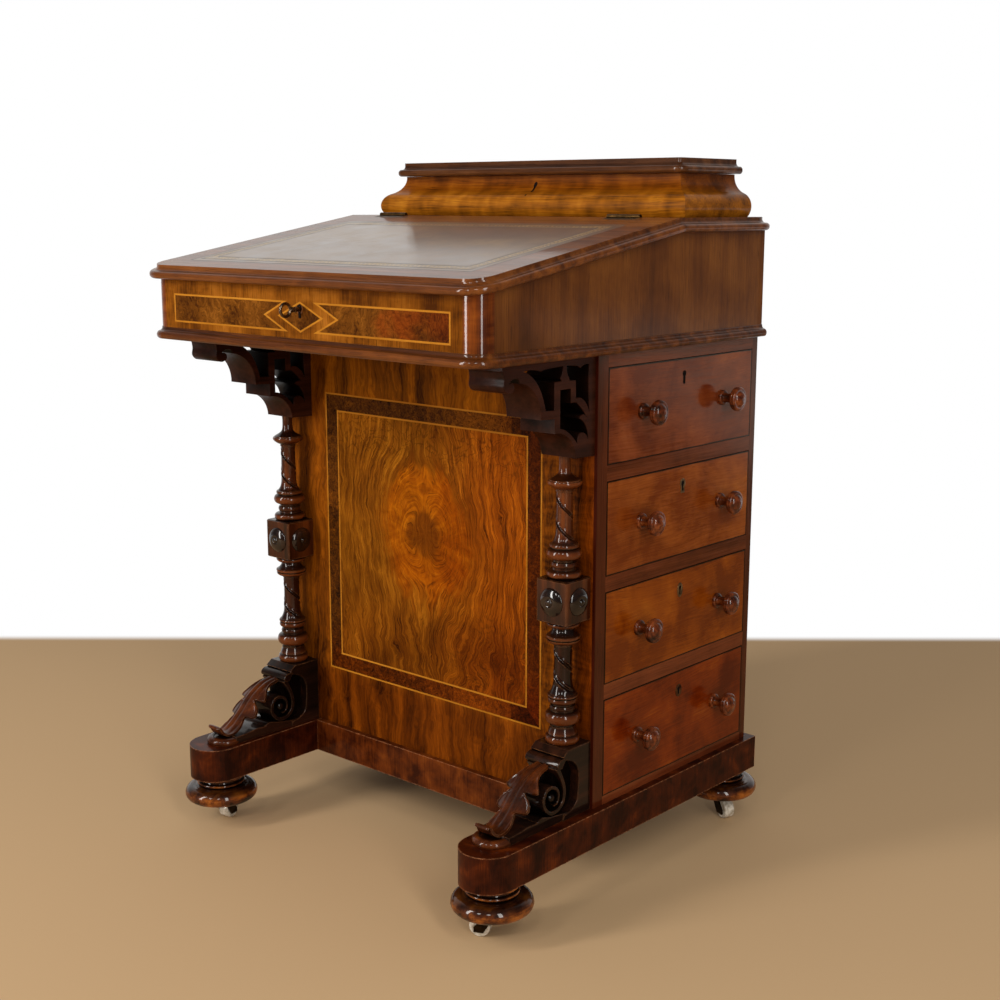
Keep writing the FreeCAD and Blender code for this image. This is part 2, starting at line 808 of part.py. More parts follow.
def make_front_rail():
    """Front rail with burr panels and boxwood lines let into it, bored for the key."""
    layer_y = ("front_y", "front_y + veneer_thick")
    deep_y = ("front_y - overrun", "front_y + veneer_thick")
    ring_y = ("front_y - overrun", "front_y + veneer_thick + overrun")
    bore = rod("key_bore", "y", "key_shaft_radius + running_gap", ("0", "key_z"), "front_y - overrun",
               "lock_y + overrun")
    rim_bore = rod("rim_bore", "y", "escutcheon_radius", ("0", "key_z"), "front_y - overrun",
                   "front_y + veneer_thick")
    panels = []
    lines = []
    beds = []
    for name, side in (("left_panel", -1), ("right_panel", 1)):
        panels.append(fishtail(name, side, "0", layer_y))
        whole = fishtail(name + "_line", side, "stringing_width", layer_y)
        lines.append(cut(name + "_line", whole, fishtail(name + "_inner", side, "0", ring_y)))
        beds.append(fishtail(name + "_bed", side, "stringing_width", deep_y))
    panels.append(cut("diamond", diamond("diamond", "0", layer_y), rim_bore))
    line = diamond("diamond_line", "stringing_width", layer_y)
    lines.append(cut("diamond_line", line, diamond("diamond_inner", "0", ring_y)))
    beds.append(diamond("diamond_bed", "stringing_width", deep_y))
    board = block("front_rail", both("box_x - rail_thick"), ("front_y", "lock_y"), ("box_z", "break_z"))
    node("front_rail", cut("front_rail", board, slope_cutter("front_rail"), *beds, bore))
    node("rail_burr_panels", *panels)
    outer = front_layer("outer_line", "inlay_margin", "band_margin")
    inner = front_layer("inner_line", "inner_margin", "field_margin")
    node("boxwood_stringing", outer, inner, *lines)


def make_lock():
    """Box lock of plates and key-hole rim, with the bolt and the key that works it."""
    inner_y = ("lock_y + lock_wall", "lock_y + lock_depth - lock_wall")
    whole_z = ("lock_low_z", "lock_high_z")
    side_z = ("lock_low_z + lock_wall", "lock_high_z - lock_wall")
    front = block("lock_front", both("lock_half"), ("lock_y", inner_y[0]), whole_z)
    bore = rod("lock_bore", "y", "key_shaft_radius + running_gap", ("0", "key_z"), "lock_y - overrun",
               "lock_y + lock_wall + overrun / 2")
    plates = [
        cut("lock_front", front, bore),
        block("lock_cap", both("lock_half"), (inner_y[1], "lock_y + lock_depth"), whole_z),
        block("lock_floor", both("lock_half"), inner_y, (whole_z[0], side_z[0])),
    ]
    for x in sides(("lock_half - lock_wall", "lock_half")).values():
        plates.append(block("lock_side", x, inner_y, side_z))
    for x in sides(("bolt_half + seat_gap", "lock_half")).values():
        plates.append(block("lock_head", x, inner_y, (side_z[1], whole_z[1])))
    rim = rod("escutcheon", "y", "escutcheon_radius", ("0", "key_z"), "front_y - escutcheon_proud",
              "front_y + veneer_thick")
    rim_bore = rod("escutcheon_bore", "y", "key_shaft_radius + running_gap", ("0", "key_z"),
                   "front_y - overrun", "front_y + veneer_thick + overrun")
    node("lid_lock", *plates, cut("escutcheon", rim, rim_bore))
    bolt_z = ("lock_high_z - bolt_height", "lock_high_z")
    node("lock_bolt", block("lock_bolt", both("bolt_half"), ("bolt_front_y", "bolt_rear_y"), bolt_z))
    bow = doc.addObject("Part::Torus", "key_bow")
    bow.setExpression("Radius1", ex("key_bow_radius"))
    bow.setExpression("Radius2", ex("key_wire_radius"))
    bow.setExpression("Placement.Base.y", ex("front_y - key_reach + key_bow_radius + key_wire_radius"))
    bow.setExpression("Placement.Base.z", ex("key_z"))
    bow.Placement.Rotation = Rotation(Vector(0, 1, 0), 90)
    shaft = rod("key_shaft", "y", "key_shaft_radius", ("0", "key_z"),
                "front_y - key_reach + 2 * key_bow_radius", "bolt_rear_y")
    bit = block("key_bit", both("key_bit_thick / 2"), ("bolt_front_y", "bolt_rear_y"),
                ("key_z - key_bit + seat_gap", "key_z"))
    node("key", fuse("key", bow, shaft, bit))


def on_rim(point, half, tip, inward, radius):
    """Whether a point lies on a board's moulded rim, round the sides and one rounded end."""
    across = abs(point.x) - (half - radius)
    along = (tip - point.y) * inward + radius
    reach = math.hypot(across, along) if across > 0 and along > 0 else max(across, along)
    return abs(reach - radius) < val("edge_find")


def moulded_board(name, half, tip, plain, floor, upright, corner):
    """Board with a bull-nosed lower member and a coved upper one round its sides and one end."""
    half_size = val(half)
    tip_y = val(tip)
    inward = math.copysign(1, val(plain) - tip_y)
    inner_tip = f"{tip} + {inward:.0f} * edge_inset"
    inner_half = f"{half} - edge_inset"
    inner_corner = f"{corner} - edge_inset"
    step = val("edge_step")
    near = val("edge_find")
    drop = (val(floor(plain, "0")) - val(floor(tip, "0"))) / (val(plain) - tip_y)

    def lift(point):
        """Height of a point above the board's underside."""
        return point.z - val(floor(tip, "0")) - (point.y - tip_y) * drop

    def rim(points, heights, end, width, radius):
        """Whether all points lie on one rim at one of some heights."""
        level = any(all(abs(lift(p) - height) < near for p in points) for height in heights)
        return level and all(on_rim(p, width, end, inward, radius) for p in points)

    def upright_corner(points, end, width):
        """Whether points run up a corner of the moulded end."""
        return all(abs(p.y - end) < near and abs(abs(p.x) - width) < near for p in points)

    body = doc.addObject("PartDesign::Body", name + "_body")
    for layer, end, width, low, high in (("lower", tip, half, "0", "edge_step"),
                                         ("upper", inner_tip, inner_half, "edge_step", upright)):
        outline = [(end, floor(end, low)), (plain, floor(plain, low)), (plain, floor(plain, high)),
                   (end, floor(end, high))]
        add_pad(body, f"{name}_{layer}", "YZ_Plane", outline, *both(width))
    inner_y = val(inner_tip)
    inner_size = val(inner_half)
    round_edges(body, name + "_outer", corner,
                lambda points: upright_corner(points, tip_y, half_size))
    round_edges(body, name + "_inner", inner_corner,
                lambda points: upright_corner(points, inner_y, inner_size))
    round_edges(body, name + "_nose", "edge_nose",
                lambda points: rim(points, (0, step), tip_y, half_size, val(corner)))
    round_edges(body, name + "_cove", "edge_cove",
                lambda points: rim(points, (step,), inner_y, inner_size, val(inner_corner)))
    return body


def sloped(name, x, y, low, high):
    """Piece lying along the slope between two depths and two lifts above the lid's underside."""
    outline = [(y[0], slope_z(y[0], f"seat_gap + {low}")), (y[1], slope_z(y[1], f"seat_gap + {low}")),
               (y[1], slope_z(y[1], f"seat_gap + {high}")), (y[0], slope_z(y[0], f"seat_gap + {high}"))]
    return prism(name, outline, x)


def thirds(centre):
    """The two outer knuckles and the middle one of a hinge, with room between them."""
    middle = (f"{centre} - hinge_length / 6", f"{centre} + hinge_length / 6")
    outer = [(f"{centre} - hinge_length / 2", f"{middle[0]} - seat_gap"),
             (f"{middle[1]} + seat_gap", f"{centre} + hinge_length / 2")]
    return outer, middle


def make_lid():
    """Sloping lid with leather let into it, its hinges and strike plate, and the fixed top board."""
    front_tip = "front_y - edge_overhang"
    lid_end = "break_y - break_gap"
    lid = moulded_board("slope_lid", "lid_x", front_tip, lid_end,
                        lambda y, lift: slope_z(y, f"seat_gap + {lift}"), "lid_upright", "lid_round")
    table = moulded_board("top_board", "lid_x", "rear_y + edge_overhang", "break_y",
                          lambda y, lift: f"break_z + {lift}", "table_z - break_z", "lid_round")
    leather_y = (f"{front_tip} + leather_front_margin", "break_y - leather_back_margin")
    leather_low = "lid_upright - leather_thick"
    leather = sloped("leather", both("leather_half"), leather_y, leather_low, "lid_upright")
    leather_high = "lid_upright + overrun"
    lid_beds = [sloped("leather_bed", both("leather_half"), leather_y, leather_low, leather_high)]
    table_beds = []
    fixed = []
    moving = []
    near_y = "break_y - hinge_radius - hinge_gap"
    far_y = "break_y + hinge_radius + hinge_gap"
    plate_z = ("table_z - leaf_bed", "table_z")
    for name, centre in (("left", "-lid_hinge_spread"), ("right", "lid_hinge_spread")):
        whole = (f"{centre} - hinge_length / 2", f"{centre} + hinge_length / 2")
        outer, middle = thirds(centre)
        axis = ("break_y", "lid_pivot_z")
        parts = [block("leaf", whole, (far_y, "break_y + hinge_reach"), plate_z),
                 rod("pin", "x", "hinge_pin_radius", axis, *whole)]
        for span in outer:
            parts.append(block("tab", span, ("break_y", far_y), plate_z))
            parts.append(rod("knuckle", "x", "hinge_radius", axis, *span))
        fixed.append(fuse(name + "_fixed_leaf", *parts))
        leaf_y = ("break_y - hinge_reach", near_y)
        parts = [sloped("moving_leaf", whole, leaf_y, "lid_upright - leaf_bed", "lid_upright"),
                 sloped("moving_tab", middle, (near_y, lid_end), "lid_upright - leaf_bed", "lid_upright"),
                 rod("moving_knuckle", "x", "hinge_radius", axis, *middle)]
        bore = rod("pin_bore", "x", "hinge_pin_radius + running_gap", axis, f"{whole[0]} - overrun",
                   f"{whole[1]} + overrun")
        moving.append(cut(name + "_moving_leaf", fuse(name + "_moving_leaf", *parts), bore))
        lid_beds.append(sloped("lid_leaf_bed", whole, (leaf_y[0], "break_y + overrun"),
                               "lid_upright - leaf_bed", "lid_upright + overrun"))
        table_beds.append(block("table_leaf_bed", whole, ("break_y - overrun", "break_y + hinge_reach"),
                                (plate_z[0], "table_z + overrun")))
    room_y = ("bolt_front_y - seat_gap", "bolt_rear_y + seat_gap")
    room_z = ("lock_high_z", "lock_high_z + bolt_throw + seat_gap")
    room = block("bolt_room", both("bolt_half + seat_gap"), room_y, room_z)
    plate_x = both("bolt_half + strike_rim")
    plate_y = (f"{room_y[0]} - strike_rim", f"{room_y[1]} + strike_rim")
    strike = sloped("strike", plate_x, plate_y, "0", "strike_thick")
    lid_beds.append(sloped("strike_bed", plate_x, plate_y, "-overrun", "strike_thick"))
    lid_beds.append(room)
    node("slope_lid", cut("slope_lid", lid, *lid_beds))
    node("leather_skiver", leather)
    node("lid_hinge_leaves", *moving, cut("strike", strike, room))
    node("top_board", cut("top_board", table, *table_beds))
    return fixed


def make_stationery(fixed):
    """Ogee stationery box with dividers, lid and hinges; closes the node of fixed hinge leaves."""
    wall = val("stationery_wall")
    height = val("stationery_height")
    half = val("stationery_x")
    front = val("stationery_front_y")
    rear = val("stationery_rear_y")
    floor_z = val("table_z")

    def wall_face(at, inward):
        """Ogee profile standing at the outer line of a wall."""
        points = [at + inward * (u * wall) + Vector(0, 0, v * height) for u, v, swell in OGEE_SHARES]
        across = inward.cross(Vector(0, 0, 1))
        return Part.Face(outline_wire(points, [-row[2] for row in OGEE_SHARES], across))

    front_run = wall_face(Vector(-half, front, floor_z), Vector(0, 1, 0)).extrude(Vector(2 * half, 0, 0))
    reach = val("stationery_wall + overrun")
    plan = [Vector(-half, front, floor_z), Vector(half, front, floor_z),
            Vector(half - reach, front + reach, floor_z), Vector(-half + reach, front + reach, floor_z)]
    mitre = Part.Face(Part.makePolygon(plan + plan[:1])).extrude(Vector(0, 0, height))
    pieces = [solid("stationery_front", front_run.common(mitre))]
    for side in (-1, 1):
        face = wall_face(Vector(side * half, front, floor_z), Vector(-side, 0, 0))
        side_run = face.extrude(Vector(0, rear - front, 0))
        pieces.append(solid("stationery_side", side_run.cut(mitre)))
    inner_x = both("stationery_x - stationery_wall")
    back_y = "stationery_rear_y - stationery_back_thick"
    back = block("stationery_back", inner_x, (back_y, "stationery_rear_y"), ("table_z", "stationery_top_z"))
    floor_top = "table_z + stationery_floor_thick"
    inner_y = ("stationery_front_y + stationery_wall", back_y)
    floor = block("stationery_floor", inner_x, inner_y, ("table_z", floor_top))
    divider_x = ("stationery_divider_place", "stationery_divider_place + stationery_divider_thick")
    divider_z = (floor_top, "stationery_top_z - stationery_divider_drop")
    dividers = [block("stationery_divider", x, inner_y, divider_z) for x in sides(divider_x).values()]
    node("stationery_fittings", floor, *dividers)
    lid_front = "stationery_front_y + stationery_lid_front"
    lid = moulded_board("stationery_lid", "stationery_lid_half", lid_front, "stationery_rear_y",
                        lambda y, lift: f"stationery_lid_z + {lift}",
                        "stationery_lid_thick", "stationery_lid_round")
    axis = ("stationery_pivot_y", "stationery_pivot_z")
    leaf_y = ("stationery_rear_y - stationery_back_thick", "stationery_rear_y")
    moving = []
    beds = []
    lid_beds = []
    low_z = ("stationery_top_z - leaf_thick", "stationery_top_z")
    high_z = ("stationery_lid_z", "stationery_lid_z + leaf_thick")
    for name, centre in (("left", "-stationery_hinge_spread"), ("right", "stationery_hinge_spread")):
        whole = (f"{centre} - hinge_length / 2", f"{centre} + hinge_length / 2")
        outer, middle = thirds(centre)
        parts = [block("stationery_leaf", whole, leaf_y, low_z),
                 rod("stationery_pin", "x", "hinge_pin_radius", axis, *whole)]
        for span in outer:
            parts.append(block("stationery_tab", span, ("stationery_rear_y", "stationery_pivot_y"), low_z))
            parts.append(rod("stationery_knuckle", "x", "hinge_radius", axis, *span))
        fixed.append(fuse(name + "_stationery_leaf", *parts))
        parts = [block("stationery_lid_leaf", whole, leaf_y, high_z),
                 block("stationery_lid_tab", middle, ("stationery_rear_y", "stationery_pivot_y"), high_z),
                 rod("stationery_lid_knuckle", "x", "hinge_radius", axis, *middle)]
        bore = rod("stationery_bore", "x", "hinge_pin_radius + running_gap", axis, f"{whole[0]} - overrun",
                   f"{whole[1]} + overrun")
        moving.append(cut(name + "_stationery_lid_leaf", fuse(name + "_stationery_lid_leaf", *parts), bore))
        bed_y = (leaf_y[0], f"{leaf_y[1]} + overrun")
        beds.append(block("stationery_leaf_bed", whole, bed_y, (low_z[0], "stationery_top_z + overrun")))
        lid_beds.append(block("lid_leaf_bed", whole, bed_y, ("stationery_lid_z - overrun", high_z[1])))
    node("stationery_case", *pieces, cut("stationery_back", back, *beds))
    node("stationery_lid", cut("stationery_lid", lid, *lid_beds))
    node("stationery_hinge_leaves", *moving)
    node("hinge_fixed_leaves", *fixed)


def make_plinth():
    """Sledges with round front ends, and the rails between them."""
    sledges = []
    z = ("plinth_z", "case_z")
    for side, x in sides(("sledge_spread - sledge_half", "sledge_spread + sledge_half")).items():
        beam = block(side + "_sledge", x, ("sledge_front_y", "rear_y + sledge_rear"), z)
        centre = (f"(({x[0]}) + ({x[1]})) / 2", "sledge_front_y")
        sledges.append(fuse(side + "_sledge", beam, rod(side + "_sledge", "z", "sledge_half", centre, *z)))
    node("sledges", *sledges)
    rail_x = both("sledge_spread - sledge_half")
    front_y = "case_front_y - plinth_rail_proud"
    rear_y = "rear_y + plinth_rail_proud"
    front = block("front_plinth", rail_x, (front_y, f"{front_y} + plinth_rail_thick"), z)
    rear = block("rear_plinth", rail_x, (f"{rear_y} - plinth_rail_thick", rear_y), z)
    node("plinth_rails", front, rear)


def make_castor_parts():
    """Horn with its stem and axle, and wheel, heading along +X below the swivel's axis."""
    clear = "wheel_width / 2 + seat_gap"
    crown = rod("crown", "z", "crown_radius", ("0", "0"), "crown_z - crown_thick", "crown_z")
    stem_top = "castor_height + stem_length"
    stem = rod("stem", "z", "stem_radius", ("0", "0"), "crown_z - crown_thick", stem_top)
    parts = [crown, stem]
    for y in sides((clear, f"{clear} + cheek_thick")).values():
        half = "cheek_width / 2"
        outline = [(f"-({half})", "crown_z"), (half, "crown_z"), (f"castor_trail + {half}", "wheel_radius"),
                   (f"castor_trail + {half}", f"wheel_radius - {half}"),
                   (f"castor_trail - {half}", f"wheel_radius - {half}")]
        parts.append(front_prism("cheek", outline, y))
    bridge_y = both(f"{clear} + cheek_thick")
    parts.append(block("bridge", both("cheek_width / 2"), bridge_y, ("crown_z - crown_thick", "crown_z")))
    parts.append(rod("axle", "y", "axle_radius", ("castor_trail", "wheel_radius"), *bridge_y))
    horn = fuse("horn", *parts)
    round_share = val("wheel_round / wheel_width")
    tread_share = val("(wheel_radius - wheel_round) / wheel_radius")
    swell = QUARTER_SHARE
    wheel_shares = [(0.0, tread_share, swell), (round_share, 1.0, 0.0), (1 - round_share, 1.0, swell),
                    (1.0, tread_share, 0.0)]
    disc = turned(wheel_shares, val("wheel_width"), val("wheel_radius"))
    bore = Part.makeCylinder(val("axle_radius + running_gap"), val("wheel_width"))
    wheel = disc.cut(bore)
    wheel.rotate(Vector(0, 0, 0), Vector(1, 0, 0), 90)
    wheel.translate(Vector(val("castor_trail"), val("wheel_width / 2"), val("wheel_radius")))
    doc.recompute()
    return horn.Shape, wheel


def make_feet():
    """Bun feet bored for the castor stems, sockets, and the four castors."""
    foot = turned(FOOT_SHARES, val("foot_height"), val("foot_radius"))
    bore = Part.makeCylinder(val("stem_radius + running_gap"), val("stem_length + seat_gap"))
    foot = foot.cut(bore)
    horn, wheel = make_castor_parts()
    feet = []
    sockets = []
    for name, (side, end, heading) in CASTORS.items():
        centre = (f"{side} * sledge_spread", end)
        at = Vector(val(centre[0]), val(end), val("castor_height"))
        feet.append(solid(name + "_foot", foot, Placement(at, Rotation())))
        socket_low = "castor_height - socket_thick"
        socket = rod(name + "_socket", "z", "socket_radius", centre, socket_low, "castor_height")
        hole = rod(name + "_hole", "z", "stem_radius + running_gap", centre,
                   f"{socket_low} - overrun", "castor_height + overrun")
        sockets.append(cut(name + "_socket", socket, hole))
        place = Placement(Vector(at.x, at.y, 0), Rotation(Vector(0, 0, 1), heading))
        node(f"castor_{name}_horn", solid(name + "_horn", horn, place))
        node(f"castor_{name}_wheel", solid(name + "_wheel", wheel, place))
    node("bun_feet", *feet)
    node("castor_sockets", *sockets)


def make_columns():
    """Turned columns with square blocks, and the domed bosses on the blocks."""
    radius = val("column_radius")
    square = val("column_block")
    block_height = val("column_block_height")
    lower = turned(LOWER_TURNING_SHARES, val("lower_turning"), radius)
    upper = turned(UPPER_TURNING_SHARES, val("upper_turning"), radius)
    upper.translate(Vector(0, 0, val("lower_turning") + block_height))
    corner = Vector(-square / 2, -square / 2, val("lower_turning"))
    shape = lower.fuse([Part.makeBox(square, square, block_height, corner), upper])
    boss = turned(BOSS_SHARES, val("boss_reach"), val("boss_radius"))
    columns = []
    bosses = []
    for side in (-1, 1):
        at = Vector(side * val("column_spread"), val("column_y"), val("column_z"))
        columns.append(solid("column", shape, Placement(at, Rotation())))
        middle = at + Vector(0, 0, val("lower_turning") + block_height / 2)
        for out in (Vector(0, -1, 0), Vector(1, 0, 0), Vector(-1, 0, 0)):
            seat = middle + out * (square / 2)
            bosses.append(solid("boss", boss, Placement(seat, Rotation(Vector(0, 0, 1), out))))
    node("columns", *columns)
    node("column_bosses", *bosses)


def make_brackets():
    """Pierced upper brackets, lower brackets with volute and toe pad, and the leaves on them."""
    width = val("bracket_width")
    leaf_width = val("leaf_width")
    upper = []
    lower = []
    leaves = []
    for side in (-1, 1):
        low_x = side * val("column_spread") - width / 2
        corner = Vector(low_x, val("case_front_y"), val("upper_z"))
        reach = val("upper_reach")
        height = val("upper_height")
        plate = Part.Face(side_face(UPPER_BRACKET_SHARES, reach, height, corner))
        holes = [Part.Face(side_face(shares, reach, height, corner)) for shares in FRET_SHARES]
        upper.append(solid("upper_bracket", plate.cut(holes).Faces[0].extrude(Vector(width, 0, 0))))
        reach = val("lower_reach")
        height = val("lower_height")
        corner = Vector(low_x, val("case_front_y"), val("case_z"))
        face = Part.Face(side_face(LOWER_BRACKET_SHARES, reach, height, corner))
        pad_at = Vector(side * val("column_spread"), corner.y - val("toe_pad_reach"), corner.z)
        pad = Part.makeCylinder(val("toe_pad_radius"), val("toe_pad_height"), pad_at)
        foot = face.extrude(Vector(width, 0, 0)).fuse(pad)
        lower.append(solid("lower_bracket", foot))
        corner.x = side * val("column_spread") - leaf_width / 2
        leaf = Part.Face(side_face(LEAF_SHARES, reach, height, corner))
        leaves.append(solid("leaf", leaf.extrude(Vector(leaf_width, 0, 0)).cut(foot)))
    node("upper_brackets", *upper)
    node("lower_brackets", *lower)
    node("acanthus_leaves", *leaves)


def write_parts():
    """Checks every object and writes each sub-part to its own file."""
    doc.recompute()
    for item in doc.Objects:
        if "Invalid" in item.State or "Error" in item.State:
            raise RuntimeError(f"{item.Name}: {item.State}")
    for item in nodes:
        if item.Shape.isNull() or not item.Shape.isValid() or not item.Shape.Solids:
            raise RuntimeError(f"{item.Label} has no valid solid")
    os.makedirs("parts", exist_ok=True)
    for item in nodes:
        item.Shape.exportStep(f"parts/{item.Label}.step")
    print(len(nodes), "sub-parts,", sum(len(item.Shape.Solids) for item in nodes), "solids")


make_pedestal()
make_left_side()
for drawer, (opening, rise) in DRAWERS.items():
    make_drawer(drawer, opening, rise)
make_slope_box()
make_base_moulding()
make_front_rail()
make_lock()
make_stationery(make_lid())
make_plinth()
make_feet()
make_columns()
make_brackets()
write_parts()
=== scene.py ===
import math
from functools import partialmethod, reduce

import bpy
import numpy as np
from mathutils import Matrix, Vector


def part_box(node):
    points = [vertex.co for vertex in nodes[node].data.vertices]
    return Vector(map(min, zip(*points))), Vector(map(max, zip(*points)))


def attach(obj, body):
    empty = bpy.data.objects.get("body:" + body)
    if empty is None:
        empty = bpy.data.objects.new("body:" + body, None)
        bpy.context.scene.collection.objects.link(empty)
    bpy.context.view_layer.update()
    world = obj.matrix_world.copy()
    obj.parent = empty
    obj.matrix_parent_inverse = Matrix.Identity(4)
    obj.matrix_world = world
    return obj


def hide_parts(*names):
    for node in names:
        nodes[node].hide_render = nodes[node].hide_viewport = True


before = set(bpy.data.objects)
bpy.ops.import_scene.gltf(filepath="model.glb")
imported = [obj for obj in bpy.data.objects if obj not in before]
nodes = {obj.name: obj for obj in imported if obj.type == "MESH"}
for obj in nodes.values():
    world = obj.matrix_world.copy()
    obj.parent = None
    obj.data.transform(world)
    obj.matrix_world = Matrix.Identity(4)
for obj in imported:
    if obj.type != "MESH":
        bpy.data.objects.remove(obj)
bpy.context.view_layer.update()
scene = bpy.context.scene
MM = 0.001

# Places on the desk, in millimetres as the CAD has them
FRONT_Y = -57.85
RAIL_FACE_Y = -251.85
COLUMN_X = 230
COLUMN_HALF = 21.5
COLUMN_Y = FRONT_Y - COLUMN_HALF
SIDES = (-1, 1)
X_AXIS, Z_AXIS = 0, 2


# Colours and shader trees

GRAIN_TURN = {"z": (0, 0, 0), "x": (0, math.pi / 2, 0), "y": (math.pi / 2, 0, 0)}


def tint(red, green, blue):
    """Linear colour from 0-255 display values."""
    def linear(value):
        value /= 255
        return value / 12.92 if value <= 0.04045 else ((value + 0.055) / 1.055) ** 2.4
    return (linear(red), linear(green), linear(blue), 1)


def deeper(display, share):
    """A display colour at a share of its light."""
    return (*(c * share for c in tint(*display)[:3]), 1)


class Tree:
    """A small shader-tree writer: calls add nodes, and sockets given as inputs are linked."""

    def __init__(self, name, home=None):
        self.material = home or bpy.data.materials.new(name)
        self.material.use_nodes = True
        self.tree = self.material.node_tree
        self.tree.nodes.clear()

    def add(self, kind, inputs=None, **settings):
        node = self.tree.nodes.new("ShaderNode" + kind)
        for key, value in settings.items():
            setattr(node, key, value)
        for key, value in (inputs or {}).items():
            self.put(node.inputs[key], value)
        return node

    def put(self, socket, value):
        if isinstance(value, bpy.types.NodeSocket):
            self.tree.links.new(value, socket)
        else:
            socket.default_value = value

    # Numbers

    def math(self, operation, *values):
        node = self.add("Math", operation=operation)
        for socket, value in zip(node.inputs, values):
            self.put(socket, value)
        return node.outputs[0]

    def chain(self, operation, *values):
        """One operation from the first value through to the last."""
        return reduce(lambda total, value: self.math(operation, total, value), values)

    plus = partialmethod(chain, "ADD")
    minus = partialmethod(chain, "SUBTRACT")
    times = partialmethod(chain, "MULTIPLY")
    over = partialmethod(chain, "DIVIDE")
    least = partialmethod(chain, "MINIMUM")
    most = partialmethod(chain, "MAXIMUM")
    size = partialmethod(math, "ABSOLUTE")
    root = partialmethod(math, "SQRT")

    def span(self, value, low, high, to_low=0, to_high=1, kind="LINEAR"):
        """A value's run from low to high, spread over another."""
        return self.add("MapRange", {"Value": value, "From Min": low, "From Max": high, "To Min": to_low,
                                     "To Max": to_high}, interpolation_type=kind).outputs[0]

    def step(self, value, low, high, to_low=0, to_high=1):
        """The same with soft ends."""
        return self.span(value, low, high, to_low, to_high, "SMOOTHSTEP")

    def about(self, noise, low, high):
        """Noise, which mostly lies between 0.3 and 0.7, spread from low to high."""
        return self.span(noise, 0.3, 0.7, low, high)

    # Places

    def vector(self, operation, *values):
        node = self.add("VectorMath", operation=operation)
        for socket, value in zip([s for s in node.inputs if s.type == "VECTOR"], values):
            self.put(socket, value)
        return node.outputs["Value" if operation == "DOT_PRODUCT" else "Vector"]

    def moved(self, place, *offsets):
        return reduce(lambda total, offset: self.vector("ADD", total, offset), offsets, place)

    def scaled(self, vector, amount):
        node = self.add("VectorMath", {"Scale": amount}, operation="SCALE")
        self.put(node.inputs[0], vector)
        return node.outputs[0]

    def split(self, vector):
        return self.add("SeparateXYZ", {"Vector": vector}).outputs[:3]

    def pack(self, x, y, z):
        return self.add("CombineXYZ", {"X": x, "Y": y, "Z": z}).outputs[0]

    def where(self):
        """Row-frame place in metres."""
        return self.add("TexCoord").outputs["Object"]

    def axes(self):
        return self.split(self.where())

    def place(self, shift=(0, 0, 0), grain="z"):
        """Row-frame place in metres, shifted and turned so that grain runs along Z."""
        return self.add("Mapping", {"Vector": self.where(), "Location": shift,
                                    "Rotation": GRAIN_TURN[grain]}).outputs[0]

    # Patterns

    def noise(self, vector, scale, detail=3, rough=0.5, warp=0):
        return self.add("TexNoise", {"Vector": vector, "Scale": scale, "Detail": detail,
                                     "Roughness": rough, "Distortion": warp})

    def grey(self, vector, scale, detail=3, rough=0.5, warp=0):
        return self.noise(vector, scale, detail, rough, warp).outputs["Fac"]

    def streaks(self, vector, across, along, detail=3, rough=0.5):
        """Noise drawn out along Z."""
        return self.grey(self.vector("MULTIPLY", vector, (across, across, along)), 1, detail, rough)

    def drift(self, vector, scale, size, detail=2, rough=0.5):
        """Noise offset about zero, of a size in metres."""
        colour = self.noise(vector, scale, detail, rough).outputs["Color"]
        return self.scaled(self.vector("SUBTRACT", colour, (0.5, 0.5, 0.5)), size * 2)

    def cells(self, vector, scale, feature="F1"):
        return self.add("TexVoronoi", {"Vector": vector, "Scale": scale}, feature=feature).outputs["Distance"]

    def hollows(self, reach):
        """How deep a place lies in its own surroundings: 1 in a crevice, 0 in the open."""
        around = self.add("AmbientOcclusion", {"Distance": reach}, samples=6, only_local=True).outputs["AO"]
        return self.span(around, 0.95, 0.5)

    def edges(self, reach):
        """How near a sharp arris lies: 1 on it, 0 away from it."""
        soft = self.add("Bevel", {"Radius": reach}, samples=4).outputs[0]
        return self.span(self.vector("DOT_PRODUCT", soft, self.facing()), 0.995, 0.86)

    def facing(self):
        return self.add("NewGeometry").outputs["Normal"]

    # Colours and surface

    def ramp(self, factor, *stops):
        """Colour through stops of a place and a display colour."""
        node = self.add("ValToRGB", {"Fac": factor})
        elements = node.color_ramp.elements
        while len(elements) < len(stops):
            elements.new(0.5)
        for element, (place, *colour) in zip(elements, stops):
            element.position = place
            element.color = tint(*colour)
        return node.outputs["Color"]

    def mix(self, factor, first, second, blend="MIX"):
        node = self.add("Mix", data_type="RGBA", blend_type=blend)
        self.put(node.inputs["Factor"], factor)
        for name, colour in (("A", first), ("B", second)):
            self.put([s for s in node.inputs if s.name == name and s.type == "RGBA"][0], colour)
        return [s for s in node.outputs if s.type == "RGBA"][0]

    def fade(self, colour, value, start, end, by, share=1):
        """The colour multiplied by another, more and more as a value runs from start to end."""
        return self.mix(self.step(value, start, end, 0, share), colour, (*by, 1), "MULTIPLY")

    def bump(self, height, strength, distance):
        return self.add("Bump", {"Height": height, "Strength": strength, "Distance": distance}).outputs[0]

    def finish(self, **inputs):
        shader = self.add("BsdfPrincipled", inputs)
        self.add("OutputMaterial", {"Surface": shader.outputs[0]})
        return self.material


